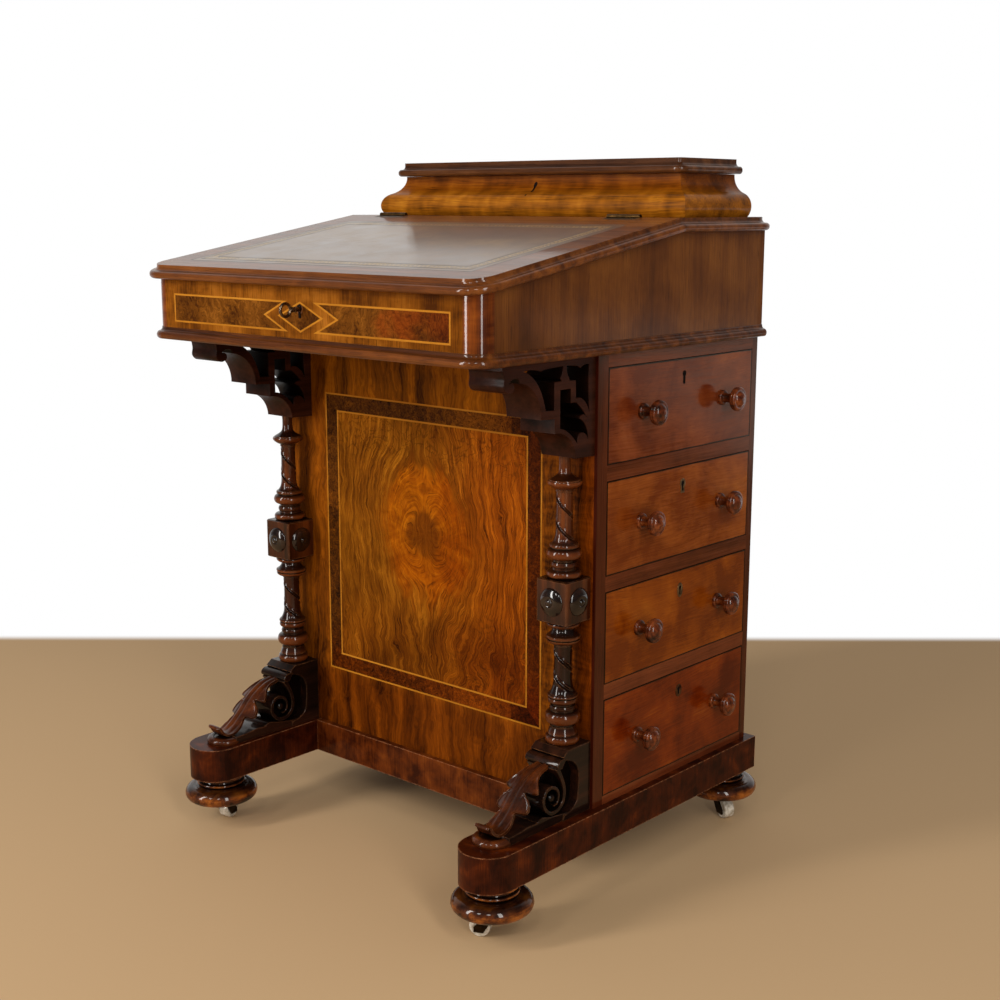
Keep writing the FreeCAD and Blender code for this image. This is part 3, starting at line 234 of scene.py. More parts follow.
def polish(t, colour, at, fibre, pit=None, rough=0.42, coat=0.9, coat_rough=0.09, level=0.3, glow=(1, 1, 1)):
    """Closes a timber: fibre and pores in relief, hand-rubbed clear coat with slight waves over it."""
    surface = fibre if pit is None else t.minus(fibre, t.times(pit, 0.8))
    waves = t.grey(at, 55, 2)
    return t.finish(**{
        "Base Color": colour, "Roughness": t.about(fibre, rough - 0.07, rough + 0.09),
        "Normal": t.bump(surface, 0.05, 0.0006), "Coat Weight": coat, "Coat Roughness": coat_rough,
        "Coat Normal": t.bump(waves, 0.035, 0.002), "Specular IOR Level": level, "Specular Tint": (*glow, 1)})


def wood(name, dark, mid, light, grain="z", shift=(0, 0, 0), warp=0.012, stripe=38, along=2.2, contrast=1,
         hair=0.22, pores=0.5, cloud=0.35, cloud_scale=9, curl=0, curl_along=130, edge=None, fades=(),
         lit_worn_belly=None, top_shade=0, worn=None, grime=0, grime_reach=0.007, **finish):
    """Polished timber: warped stripes, fibre, pores and clouding, curl across the grain, painted shade round
    drawer fronts' faces, fades along an axis, painted light and wear on the columns' bellies, wear on
    arrises, painted shade on upward faces and in hollows."""
    t = Tree(name)
    at = t.place(shift, grain)
    bent = t.moved(at, t.drift(t.vector("MULTIPLY", at, (1, 1, 0.35)), 6, warp))
    bands = t.streaks(bent, stripe, along, 4, 0.55)
    fibre = t.streaks(bent, 620, 14, 3, 0.6)
    patch = t.grey(at, cloud_scale, 4, 0.55, 0.4)
    tone = t.plus(t.about(bands, 0, 0.62 * contrast), t.about(fibre, 0, hair),
                  t.about(patch, -cloud * 0.5, cloud * 0.6))
    if curl:
        tone = t.plus(tone, t.about(t.streaks(bent, 26, curl_along, 2), -curl, curl))
    colour = t.ramp(tone, (0.05, *dark), (0.45, *mid), (0.95, *light))
    pit = t.step(t.streaks(bent, 1300, 42, 1), 0.6, 0.72)
    colour = t.mix(t.times(pit, pores), colour, deeper(dark, 0.25))
    # Painted shade: a near-black band round the face of a drawer front, standing for the shadow in the gap
    # round it.
    if edge:
        low, high, reach = edge
        x, y, z = t.axes()
        near = t.least(t.minus(y, low.y), t.minus(high.y, y), t.minus(z, low.z), t.minus(high.z, z))
        near = t.plus(near, t.about(patch, -reach * 0.25, reach * 0.25))
        front = t.span(x, high.x - 6 * MM, high.x - MM, 0, 0.97)
        colour = t.mix(t.times(t.step(near, reach, reach * 0.5), front), colour, deeper(dark, 0.06))
    for axis, start, end, by in fades:
        colour = t.fade(colour, t.axes()[axis], start, end, by)
    # Painted light and wear: the columns' bellies turn a lighter, warmer brown.
    if lit_worn_belly:
        x, y, z = t.axes()
        x = t.minus(t.size(x), COLUMN_X * MM)
        y = t.minus(y, COLUMN_Y * MM)
        girth = t.root(t.plus(t.times(x, x), t.times(y, y)))
        stout = t.times(t.step(girth, 0.013, 0.0192), t.step(girth, 0.0209, 0.0201))
        colour = t.mix(t.times(stout, t.about(patch, 0.45, 0.95)), colour, tint(*lit_worn_belly))
    # Painted shade on faces that look upward.
    if top_shade:
        colour = t.mix(t.step(t.split(t.facing())[2], 0.15, 0.75, 0, top_shade), colour, deeper(dark, 0.4))
    if worn:
        rubbed, reach = worn
        broken = t.span(t.grey(at, 150, 3, 0.6), 0.4, 0.6, 0.15, 0.75)
        colour = t.mix(t.times(t.edges(reach), broken), colour, tint(*rubbed))
    # Painted shade in hollows, deeper where the surface is more enclosed.
    if grime:
        colour = t.mix(t.times(t.hollows(grime_reach), grime), colour, deeper(dark, 0.2))
    return polish(t, colour, at, fibre, pit, **finish)


# Front veneers, with their places in metres

FRONT = dict(coat=0.03, coat_rough=0.1, level=0.02)
PANEL_MID_Z = 0.3655
PANEL_EDGE_X = 0.253
BAND_HALF_X = 0.178
BAND_HALF_Z = 0.1795
BAND_LENGTH = 0.093
CURL_TURN = (0, math.radians(-38), 0)
FIGURE_X = -0.003
FIGURE_Z = 0.39
FIGURE_HALF_X = 0.0735
FIGURE_HALF_Z = 0.0875


def panel_field(t, at):
    """Book-matched crotch veneer, its grain flowing round a glowing eye: colour, fibre and dark ticks."""
    x0, y0, z0 = t.split(at)
    matched = t.pack(t.size(t.minus(x0, FIGURE_X)), y0, z0)
    stir = t.scaled(t.drift(at, 26, 0.018, 3), t.step(z0, 0.335, 0.235))
    bent = t.moved(at, t.drift(matched, 13, 0.017), t.drift(at, 30, 0.006),
                   t.drift(matched, 95, 0.0026, 3, 0.6), stir)
    x, y, z = t.split(bent)
    p = t.over(t.minus(x, FIGURE_X), FIGURE_HALF_X)
    q = t.over(t.minus(z, FIGURE_Z), FIGURE_HALF_Z)
    square = t.plus(t.times(p, p), t.times(q, q))
    radius = t.root(square)
    flow = t.times(p, t.minus(1, t.over(0.78, t.plus(square, 0.32))))

    def flowing(across, layer, along, detail, rough=0.5):
        """Noise drawn out along the flow."""
        return t.grey(t.pack(t.times(flow, across), layer, t.times(q, along)), 1, detail, rough)

    streak = flowing(8, 0, 0.8, 5, 0.62)
    hair = flowing(58, 0, 2.4, 3, 0.6)
    vein = flowing(22, 0.7, 1.3, 4, 0.6)
    tick = t.step(flowing(110, 0.3, 7, 1), 0.56, 0.7)
    patch = t.grey(at, 11, 3)
    tone = t.plus(t.about(streak, -0.04, 0.4), t.about(vein, -0.08, 0.38), t.about(hair, -0.12, 0.48),
                  t.about(patch, -0.14, 0.14))
    outer = t.ramp(tone, (0.05, 54, 26, 3), (0.4, 112, 60, 7), (0.72, 142, 84, 13), (1, 168, 104, 22))
    outer = t.fade(outer, x, -0.02, 0.12, (1.1, 0.72, 0.4), 0.85)
    outer = t.fade(outer, z, 0.33, 0.24, (0.54, 0.41, 0.3), 0.75)
    # Curling dark lines at the top and low on the right
    swirl = t.grey(t.moved(bent, t.drift(at, 38, 0.01)), 19, 2, 0.5, 1.6)
    line = t.step(t.math("SINE", t.times(swirl, 66)), 0.45, 0.98)
    low_right = t.step(t.plus(t.minus(x, z), t.about(patch, -0.08, 0.08)), -0.24, -0.12)
    outer = t.mix(t.times(line, t.most(low_right, t.step(z, 0.455, 0.495)), 0.4), outer, tint(46, 20, 2))
    # The ring, and the eye in it
    ray = t.vector("NORMALIZE", t.pack(p, q, 0))
    spoke = t.grey(t.moved(t.scaled(ray, 7), t.pack(0, 0, t.times(radius, 1.4))), 1, 5, 0.65)
    mottle = t.grey(bent, 60, 4, 0.6)
    glow = t.plus(t.about(spoke, -0.08, 0.42), t.about(mottle, -0.08, 0.38), t.about(hair, -0.1, 0.48))
    ring = t.ramp(glow, (0, 98, 44, 2), (0.35, 138, 68, 3), (0.65, 162, 86, 4), (1, 190, 112, 12))
    ring = t.fade(ring, q, 0.2, -0.6, (0.76, 0.64, 0.5), 0.8)
    ring = t.fade(ring, p, 0, 0.55, (0.72, 0.56, 0.3), 0.9)
    eye = t.ramp(glow, (0.1, 78, 33, 2), (0.9, 116, 57, 6))
    heart = t.root(t.plus(t.times(p, p), t.times(q, q, 2.2)))
    heart = t.plus(heart, t.about(mottle, -0.035, 0.035))
    inside = t.mix(t.step(heart, 0.52, 0.34, 0, 0.9), ring, eye)
    frayed = t.plus(radius, t.about(streak, -0.16, 0.16), t.about(spoke, -0.1, 0.1))
    field = t.mix(t.step(frayed, 1.24, 0.82, 0, 0.9), outer, inside)
    shore = t.times(t.step(frayed, 0.88, 1.02), t.step(frayed, 1.26, 1.06), t.span(q, 0.1, 0.7, 0.05, 0.5))
    field = t.mix(shore, field, tint(74, 34, 3))
    shade = t.span(t.grey(bent, 9, 4, 0.6), 0.46, 0.64, 0, 0.8)
    field = t.mix(shade, field, (0.54, 0.5, 0.46, 1), "MULTIPLY")
    return t.mix(t.times(tick, 0.55), field, tint(44, 20, 2)), hair, tick


def panel_border(t, at):
    """Colour outside the banding: upright grain, flames at the foot, slanting curl at the right."""
    x, y, z = t.split(at)
    flame = t.moved(at, t.drift(at, 16, 0.016, 3))
    turned = t.add("Mapping", {"Vector": flame, "Rotation": CURL_TURN, "Scale": (30, 30, 190)}).outputs[0]
    slant = t.times(t.step(x, 0.16, 0.19), t.about(t.grey(turned, 1, 2), -0.12, 0.12))
    tone = t.plus(t.about(t.streaks(flame, 46, 4, 5, 0.6), 0, 0.7),
                  t.about(t.streaks(flame, 520, 13, 2), 0, 0.25), slant)
    border = t.ramp(tone, (0.1, 44, 18, 3), (0.45, 100, 50, 5), (0.75, 136, 72, 9), (1, 168, 96, 16))
    # Along the top border the veneer turns olive and lighter: its own tone, partly painted light against the
    # box's shadow.
    border = t.fade(border, z, 0.53, 0.56, (1.1, 1.3, 0.35), 0.6)
    border = t.fade(border, z, 0.2, 0.17, (0.56, 0.42, 0.38), 0.8)
    return t.fade(border, x, 0.205, 0.245, (0.62, 0.36, 0.3), 0.75)


def figured_panel(name):
    """The panel's field and borders, with a line of painted shade down each side."""
    t = Tree(name)
    at = t.place()
    x, y, z = t.split(at)
    field, hair, tick = panel_field(t, at)
    off_x = t.size(x)
    off_z = t.size(t.minus(z, PANEL_MID_Z))
    outside = t.most(t.math("GREATER_THAN", off_x, BAND_HALF_X), t.math("GREATER_THAN", off_z, BAND_HALF_Z))
    colour = t.mix(outside, field, panel_border(t, at))
    # Painted shade down each outer side, in the narrow strip beyond the brackets.
    colour = t.mix(t.step(off_x, PANEL_EDGE_X, PANEL_EDGE_X + MM), colour, tint(52, 14, 4))
    return polish(t, colour, at, hair, tick, **FRONT)


def banding(name):
    """Dark burr crossbanding laid in short butted lengths of differing tone."""
    t = Tree(name)
    at = t.place()
    x, y, z = t.split(at)
    in_x = t.minus(BAND_HALF_X, t.size(x))
    in_z = t.minus(BAND_HALF_Z, t.size(t.minus(z, PANEL_MID_Z)))
    upright = t.math("LESS_THAN", in_x, in_z)
    run = t.plus(t.times(upright, z), t.times(t.minus(1, upright), t.plus(x, 3)))
    run = t.plus(run, t.times(t.math("SIGN", x), 0.4))
    length = t.math("FLOOR", t.over(run, BAND_LENGTH))
    share = t.add("TexWhiteNoise", {"W": length}, noise_dimensions="1D").outputs["Value"]
    bent = t.moved(at, t.drift(at, 40, 0.008, 3, 0.6))
    fibre = t.grey(bent, 620, 3, 0.6, 0.6)
    tone = t.plus(t.about(t.grey(bent, 150, 4, 0.65, 0.8), 0, 0.5), t.about(fibre, 0, 0.4),
                  t.span(share, 0, 1, -0.22, 0.16))
    colour = t.ramp(tone, (0.05, 26, 12, 3), (0.45, 82, 42, 7), (0.8, 120, 66, 11), (1, 148, 86, 18))
    colour = t.fade(colour, z, 0.26, 0.2, (1, 0.68, 0.42))
    colour = t.fade(colour, x, 0.1, 0.17, (0.62, 0.38, 0.24))
    olive = t.times(t.step(z, 0.4, 0.46), t.step(x, 0.12, 0.02), 0.6)
    colour = t.mix(olive, colour, (0.72, 0.8, 1.1, 1), "MULTIPLY")
    eyes = t.step(t.cells(bent, 270), 0.3, 0.1)
    colour = t.mix(t.times(eyes, 0.7), colour, tint(20, 8, 3))
    return polish(t, colour, at, fibre, **FRONT)


def rail_burr(name):
    """Burr veneer: swirling clusters, dark eyes and speckle, reddening to the right."""
    dark = (50, 22, 3)
    t = Tree(name)
    at = t.place()
    bent = t.moved(at, t.drift(at, 22.4, 0.025, 3, 0.6))
    fibre = t.grey(bent, 672, 3, 0.6, 0.6)
    patch = t.grey(at, 25.6, 2)
    tone = t.plus(t.about(t.grey(bent, 112, 5, 0.62, 1.2), 0, 0.62), t.about(fibre, 0, 0.25),
                  t.about(patch, -0.2, 0.25))
    colour = t.ramp(tone, (0.05, *dark), (0.5, 96, 54, 11), (1, 134, 82, 24))
    far = t.plus(t.split(at)[X_AXIS], t.about(patch, -0.05, 0.05))
    colour = t.fade(colour, far, 0.11, 0.2, (0.95, 0.5, 0.35), 0.9)
    eyes = t.step(t.cells(bent, 240), 0.3, 0.12)
    colour = t.mix(t.times(eyes, 0.45), colour, deeper(dark, 0.3))
    return polish(t, colour, at, fibre, **FRONT)


# Timbers: dark, middle and light display colours, and what differs from plain polished walnut

MOULDED = dict(
    grain="x", stripe=90, cloud=0.2, cloud_scale=26, coat=0.5, coat_rough=0.07, level=0.06, grime=0.8)
SIDE = dict(coat=0.06, coat_rough=0.09, level=0.2, rough=0.17, glow=(1, 0.84, 0.34), pores=0.3)
CLOUDED = dict(
    SIDE, grain="y", contrast=0.35, hair=0.24, cloud=0.6, cloud_scale=15, stripe=34, along=5, warp=0.03)
CARVED = dict(stripe=80, level=0.05, grime=0.95, pores=0.3, coat_rough=0.06)
CHIPPED = dict(CARVED, worn=((126, 80, 48), 0.0016))
STAINED = dict(
    stripe=34, contrast=0.6, cloud=0.55, cloud_scale=38, coat=0.2, coat_rough=0.09, level=0.03,
    worn=((168, 112, 76), 0.0022))
BLACKENED = ((8, 4, 2), (24, 11, 6), (50, 24, 12))
STILE = ((42, 13, 5), (68, 26, 10), (92, 42, 18), dict(SIDE, contrast=0.8))
RAIL = ((64, 24, 9), (100, 46, 22), (122, 64, 32), dict(SIDE, grain="y", contrast=0.7))
LINING = ((104, 68, 36), (146, 104, 62), (176, 134, 86), dict(grain="x", coat=0.1, rough=0.6))
KNOB = ((34, 11, 4), (92, 39, 14), (148, 76, 32), dict(
    grain="x", stripe=160, coat=0.6, coat_rough=0.07, level=0.06, grime=0.9))
DRAWER_TONES = {
    1: ((84, 32, 12), (114, 53, 23), (140, 76, 36)),
    2: ((98, 40, 10), (132, 66, 21), (156, 90, 32)),
    3: ((96, 38, 5), (131, 62, 9), (158, 88, 16)),
    4: ((74, 19, 2), (110, 39, 4), (152, 74, 12)),
}
# Width of the band of painted shade round each drawer front's face
DRAWER_EDGE = 1.8 * MM
DRAWER_SHIFT = (0.3, 0.17, 0.4)
TIMBERS = {
    "boxwood_stringing": ((138, 84, 18), (172, 112, 32), (196, 138, 54), dict(
        FRONT, grain="x", pores=0.15, cloud=0.2, contrast=0.6, worn=((58, 26, 5), 0.0006))),
    "front_rail": ((80, 41, 6), (125, 71, 13), (156, 96, 28), dict(
        FRONT, stripe=70, along=9, contrast=0.5, hair=0.35, pores=0.7, cloud=0.6, cloud_scale=22, curl=0.1,
        fades=[(X_AXIS, 0.02, 0.25, (0.6, 0.54, 0.3))])),
    "box_corner_posts": ((64, 24, 4), (110, 52, 9), (140, 76, 16), dict(
        contrast=0.8, curl=0.16, cloud=0.4, coat=0.6, coat_rough=0.05, level=0.06)),
    "box_sides": ((60, 30, 8), (86, 46, 12), (112, 66, 22), dict(
        stripe=26, along=1.6, contrast=1.1, hair=0.3, cloud=0.6, coat=0.3, coat_rough=0.12, level=0.06)),
    "box_back": ((58, 30, 10), (92, 50, 16), (122, 72, 28), dict(coat=0.1, level=0.06)),
    "base_moulding": ((40, 16, 4), (78, 38, 10), (118, 64, 20), MOULDED),
    "slope_lid": ((58, 26, 9), (98, 52, 18), (132, 76, 30), MOULDED),
    "top_board": ((52, 24, 8), (94, 50, 18), (128, 74, 30), MOULDED),
    "stationery_lid": ((40, 19, 8), (78, 43, 19), (114, 70, 36), MOULDED),
    # The case darkens along its top, under the lid's overhang: painted shadow.
    "stationery_case": ((86, 47, 6), (138, 79, 10), (180, 114, 26), dict(
        grain="x", stripe=70, along=3, contrast=0.55, hair=0.42, curl=0.22, curl_along=44, coat=0.2,
        coat_rough=0.1, level=0.05, grime=0.5, fades=[(Z_AXIS, 0.788, 0.802, (0.6, 0.46, 0.3))])),
    "front_panel": STILE, "back_panel": STILE,
    "drawer_rails": RAIL, "pedestal_top": RAIL, "pedestal_floor": RAIL, "left_side": RAIL,
    "dummy_drawer_fronts": (*DRAWER_TONES[2], CLOUDED),
    "dummy_knobs": KNOB,
    "columns": ((26, 9, 3), (66, 28, 9), (110, 54, 18), dict(
        CHIPPED, coat=0.6, grime_reach=0.01, top_shade=0.8, lit_worn_belly=(98, 46, 14),
        fades=[(Z_AXIS, 0.42, 0.29, (0.26, 0.18, 0.14))])),
    "bun_feet": ((24, 8, 3), (84, 38, 10), (150, 82, 24), dict(
        CARVED, grain="y", coat=0.6, cloud=1, cloud_scale=40, top_shade=0.8)),
    "column_bosses": (*BLACKENED, dict(CARVED, grain="y", coat=1)),
    "lower_brackets": (*BLACKENED, dict(CHIPPED, grain="y", coat=0.4, grime_reach=0.016)),
    # Near-black: painted shade in the lower brackets' recesses.
    "bracket_shade_fill": ((3, 1, 1), (8, 3, 2), (14, 7, 4), dict(grain="y", coat=0, level=0.02)),
    "acanthus_leaves": ((22, 8, 3), (56, 23, 7), (98, 46, 14), dict(CHIPPED, grain="y", coat=0.45)),
    "upper_brackets": ((25, 10, 4), (44, 19, 10), (64, 32, 19), dict(
        CARVED, grain="y", coat=0.075, coat_rough=0.25, grime_reach=0.05)),
    "sledges": ((30, 6, 2), (60, 20, 4), (106, 44, 8), STAINED),
    "plinth_rails": ((46, 14, 3), (88, 38, 8), (122, 62, 16), STAINED),
    "box_bottom": LINING, "drawer_runners": LINING, "stationery_fittings": LINING,
}
for number, tones in DRAWER_TONES.items():
    key = f"drawer_{number}"
    shift = tuple(number * part for part in DRAWER_SHIFT)
    edge = (*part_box(key + "_front"), DRAWER_EDGE)
    TIMBERS[key + "_front"] = (*tones, dict(CLOUDED, shift=shift, edge=edge))
    TIMBERS[key + "_box"] = LINING
    TIMBERS[key + "_knobs"] = KNOB

materials = {"front_veneer": figured_panel("panel_veneer"), "front_banding": banding("crossbanding"),
             "rail_burr_panels": rail_burr("rail_burr")}
for name, (dark, mid, light, options) in TIMBERS.items():
    materials[name] = wood(name + "_finish", dark, mid, light, **options)


# Metals, pottery and leather

def metal(name, base, tarnished, rough=0.32, stained_to=None):
    """Aged metal with tarnish and fine scratches, stained like the wood before a place along Y if asked."""
    t = Tree(name)
    at = t.place()
    tarnish = t.grey(at, 120, 4, 0.6)
    scratch = t.streaks(at, 2200, 90, 2)
    colour = t.ramp(tarnish, (0.3, *tarnished), (0.65, *base))
    metallic = 1
    if stained_to is not None:
        metallic = t.math("GREATER_THAN", t.split(at)[1], stained_to)
        colour = t.mix(metallic, tint(108, 58, 16), colour)
    return t.finish(**{"Base Color": colour, "Metallic": metallic, "Normal": t.bump(scratch, 0.05, 0.0004),
                       "Roughness": t.about(tarnish, rough + 0.18, rough - 0.04)})


def ceramic(name):
    """Glazed white pottery with faint crazing and dirt."""
    t = Tree(name)
    at = t.place()
    grime = t.grey(at, 160, 4, 0.6)
    craze = t.cells(at, 420, "DISTANCE_TO_EDGE")
    colour = t.ramp(grime, (0.3, 140, 128, 108), (0.6, 208, 200, 186))
    colour = t.mix(t.times(t.step(craze, 0.03, 0), 0.25), colour, tint(150, 136, 112))
    return t.finish(**{"Base Color": colour, "Roughness": t.about(grime, 0.28, 0.14), "Coat Weight": 0.5,
                       "Normal": t.bump(craze, 0.02, 0.0004)})


# Lines of the leather's border: distance from its edge and half-width, in millimetres
GILT_LINES = ((12.6, 0.55), (20.6, 0.55))
PRESSED_LINES = ((1, 0.9), (9.8, 1.1), (23.4, 1.1))
STAMPED_LINE = (16.6, 1.5)
STAMP_PITCH = 6.2


def leather(name):
    """Worn brown hide with fine grain, and a tooled border of gilt lines and small stamps."""
    t = Tree(name)
    at = t.place()
    low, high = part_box("leather_skiver")
    x, y, z = t.split(at)
    side = t.minus(high.x, t.size(x))
    ends = t.least(t.minus(y, low.y), t.minus(high.y, y))
    inset = t.least(side, ends)
    upright = t.math("LESS_THAN", side, ends)
    run = t.plus(t.times(upright, y), t.times(t.minus(1, upright), x))
    patch = t.grey(at, 8, 4, 0.6)
    rub = t.streaks(at, 30, 8, 3, 0.6)
    tone = t.plus(t.about(patch, 0, 0.6), t.about(rub, 0, 0.4))
    colour = t.ramp(tone, (0.1, 70, 46, 24), (0.5, 100, 72, 42), (0.95, 128, 100, 66))
    # A darker spot where a hand rests
    spot_x = t.over(t.minus(x, 0.1), 0.17)
    spot_y = t.over(t.plus(y, 0.01), 0.075)
    far = t.plus(t.times(spot_x, spot_x), t.times(spot_y, spot_y), t.about(patch, -0.5, 0.5))
    colour = t.mix(t.step(far, 1.3, 0.2, 0, 0.6), colour, tint(74, 44, 20))

    def line(centre, half):
        return t.step(t.size(t.minus(inset, centre * MM)), (half + 0.25) * MM, half * MM)

    wear = t.span(t.grey(at, 220, 3, 0.7), 0.38, 0.62, 0.25, 1)
    beat = t.math("SINE", t.times(run, 2 * math.pi / (STAMP_PITCH * MM)))
    stamps = t.times(t.step(beat, 0.1, 0.6), line(*STAMPED_LINE), 0.75)
    gilt = t.most(*(line(*row) for row in GILT_LINES), stamps)
    pressed = t.most(*(line(*row) for row in PRESSED_LINES))
    tooled = t.most(gilt, pressed)
    colour = t.mix(t.times(pressed, 0.9), colour, tint(24, 14, 8))
    colour = t.mix(t.times(gilt, wear, 0.85), colour, tint(204, 168, 92))
    sunk = t.minus(t.times(t.cells(at, 620), 0.4), tooled)
    shine = t.minus(t.about(rub, 0.66, 0.44), t.times(tooled, 0.5))
    return t.finish(**{
        "Base Color": colour, "Roughness": t.span(tone, 0.1, 0.9, 0.34, 0.46), "Specular IOR Level": 0.3,
        "Normal": t.bump(sunk, 0.25, 0.0004), "Coat Weight": shine, "Coat Roughness": 0.13})


BRASS = ((166, 130, 74), (84, 60, 32))
STAIN_DEPTH = 0.4
for name in ("lid_hinge_leaves", "stationery_hinge_leaves", "hinge_fixed_leaves"):
    materials[name] = metal(name + "_brass", (96, 70, 38), (46, 32, 17), 0.4)
for name in ("lock_bolt", "castor_sockets"):
    materials[name] = metal(name + "_brass", *BRASS)
materials["lid_lock"] = metal("lid_lock_brass", *BRASS, stained_to=(RAIL_FACE_Y + STAIN_DEPTH) * MM)
materials["key"] = metal("key_iron", (122, 102, 82), (44, 32, 23), 0.2)
for corner in ("front_left", "front_right", "rear_left", "rear_right"):
    materials[f"castor_{corner}_horn"] = metal(f"castor_{corner}_brass", (54, 41, 27), (20, 14, 9))
    materials[f"castor_{corner}_wheel"] = ceramic(f"castor_{corner}_ceramic")
materials["leather_skiver"] = leather("hide")

for name, obj in nodes.items():
    obj.data.materials.clear()
    obj.data.materials.append(materials[name])

# Softened arrises on the boards, in millimetres
ARRIS = {
    "slope_lid": 0.5, "top_board": 0.5, "stationery_lid": 0.5, "sledges": 1.2, "plinth_rails": 0.8,
    "front_panel": 0.6, "left_side": 0.6, "back_panel": 0.6, "box_sides": 0.4, "dummy_drawer_fronts": 0.6}
ARRIS.update({f"drawer_{number}_front": 0.7 for number in DRAWER_TONES})
for name, width in ARRIS.items():
    bevel = nodes[name].modifiers.new("arris", "BEVEL")
    bevel.width = width * MM
    bevel.segments = 2
    bevel.limit_method = "ANGLE"
    bevel.angle_limit = math.radians(50)
    bevel.harden_normals = False


# Shapes made here, in millimetres

def arc_points(start, end, swell, count):
    """Points from start up to end, bulging to the left of the way by a share of its length."""
    start, end = np.array(start, float), np.array(end, float)
    if not swell:
        return [start]
    length = np.hypot(*(end - start))
    along = (end - start) / length
    left = np.array((-along[1], along[0]))
    half = 2 * math.atan(2 * abs(swell))
    points = []
    for turn in np.linspace(-half, half, count, endpoint=False):
        place = length / 2 * (1 + math.sin(turn) / math.sin(half))
        lift = length / 2 * (math.cos(turn) - math.cos(half)) / math.sin(half)
        points.append(start + along * place + left * math.copysign(lift, swell))
    return points


def closed_path(rows, count):
    """Closed outline through rows of two coordinates and a swell."""
    points = []
    for row, after in zip(rows, rows[1:] + rows[:1]):
        points += arc_points(row[:2], after[:2], row[2] if len(row) > 2 else 0, count)
    return np.array(points)


def smooth_path(points, count):
    """Evenly spaced points on a smooth curve through a list of points."""
    points = np.array(points, float)
    padded = np.vstack((2 * points[0] - points[1], points, 2 * points[-1] - points[-2]))
    fine = []
    for index in range(len(points) - 1):
        p0, p1, p2, p3 = padded[index:index + 4]
        for t in np.linspace(0, 1, 24, endpoint=False):
            fine.append(0.5 * (2 * p1 + (p2 - p0) * t + (2 * p0 - 5 * p1 + 4 * p2 - p3) * t ** 2
                               + (3 * p1 - p0 - 3 * p2 + p3) * t ** 3))
    fine = np.array(fine + [points[-1]])
    run = np.concatenate(([0], np.cumsum(np.linalg.norm(np.diff(fine, axis=0), axis=1))))
    places = np.linspace(0, run[-1], count)
    return np.stack([np.interp(places, run, fine[:, axis]) for axis in range(fine.shape[1])], axis=1)


def left_of(path):
    """Way to the left at each point of a path."""
    ways = np.gradient(path, axis=0)
    ways /= np.linalg.norm(ways, axis=1)[:, None]
    return np.stack((-ways[:, 1], ways[:, 0]), axis=1)


def add_piece(name, mesh, material, body="carcase", replaced=(), sharp=40):
    """Puts a mesh in the scene as a smooth-shaded piece of one body, with its finish."""
    mesh.materials.clear()
    mesh.materials.append(material)
    mesh.shade_smooth()
    mesh.set_sharp_from_angle(angle=math.radians(sharp))
    obj = bpy.data.objects.new(name, mesh)
    scene.collection.objects.link(obj)
    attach(obj, body)
    if replaced:
        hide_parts(*replaced)


def mesh_of(name, parts):
    """One mesh from several lists of vertices and faces."""
    verts = []
    faces = []
    for part_verts, part_faces in parts:
        base = len(verts)
        verts += [tuple(v) for v in np.array(part_verts, float) * MM]
        faces += [tuple(base + i for i in face) for face in part_faces]
    mesh = bpy.data.meshes.new(name)
    mesh.from_pydata(verts, [], faces)
    mesh.validate()
    return mesh


def join(name, meshes):
    """One mesh out of several."""
    parts = []
    for mesh in meshes:
        verts = [tuple(c / MM for c in v.co) for v in mesh.vertices]
        parts.append((verts, [tuple(face.vertices) for face in mesh.polygons]))
        bpy.data.meshes.remove(mesh)
    return mesh_of(name, parts)


def add_carved(name, mesh, node, replaced=(), sharp=35):
    """A carved piece in the finish of a node."""
    add_piece(name, mesh, materials[node], replaced=replaced, sharp=sharp)


def on_both(y, *parts):
    """Parts made about the origin, set at both columns."""
    return [(verts + (side * COLUMN_X, y, 0), faces) for side in SIDES for verts, faces in parts]


def grid_faces(rows, columns, wrap=False):
    """Quads of a grid of points, closed round its columns if asked."""
    faces = []
    for i in range(rows - 1):
        for j in range(columns if wrap else columns - 1):
            k = (j + 1) % columns
            faces.append((i * columns + j, i * columns + k, (i + 1) * columns + k, (i + 1) * columns + j))
    return faces


def tube_faces(rows, columns):
    """Quads round a grid of rings, closed at both ends."""
    last = (rows - 1) * columns
    ends = [tuple(reversed(range(columns))), tuple(range(last, last + columns))]
    return grid_faces(rows, columns, True) + ends


def sheet_faces(rows, columns, rim):
    """Faces of a front grid of points and of the back grid after it, joined along a rim of front points."""
    size = rows * columns
    front = grid_faces(rows, columns)
    faces = [tuple(reversed(face)) for face in front] + [tuple(size + i for i in face) for face in front]
    return faces + [(a, b, size + b, size + a) for a, b in zip(rim, rim[1:] + rim[:1])]


def lathe(profile, steps, depth=None):
    """Turned surface about Z from (radius, height) rows, closed at both ends; a depth may be cut into it."""
    verts = []
    for radius, height in profile:
        for step in range(steps):
            angle = 2 * math.pi * step / steps
            size = radius - (depth(angle, height) if depth else 0)
            verts.append((size * math.cos(angle), size * math.sin(angle), height))
    return np.array(verts), tube_faces(len(profile), steps)


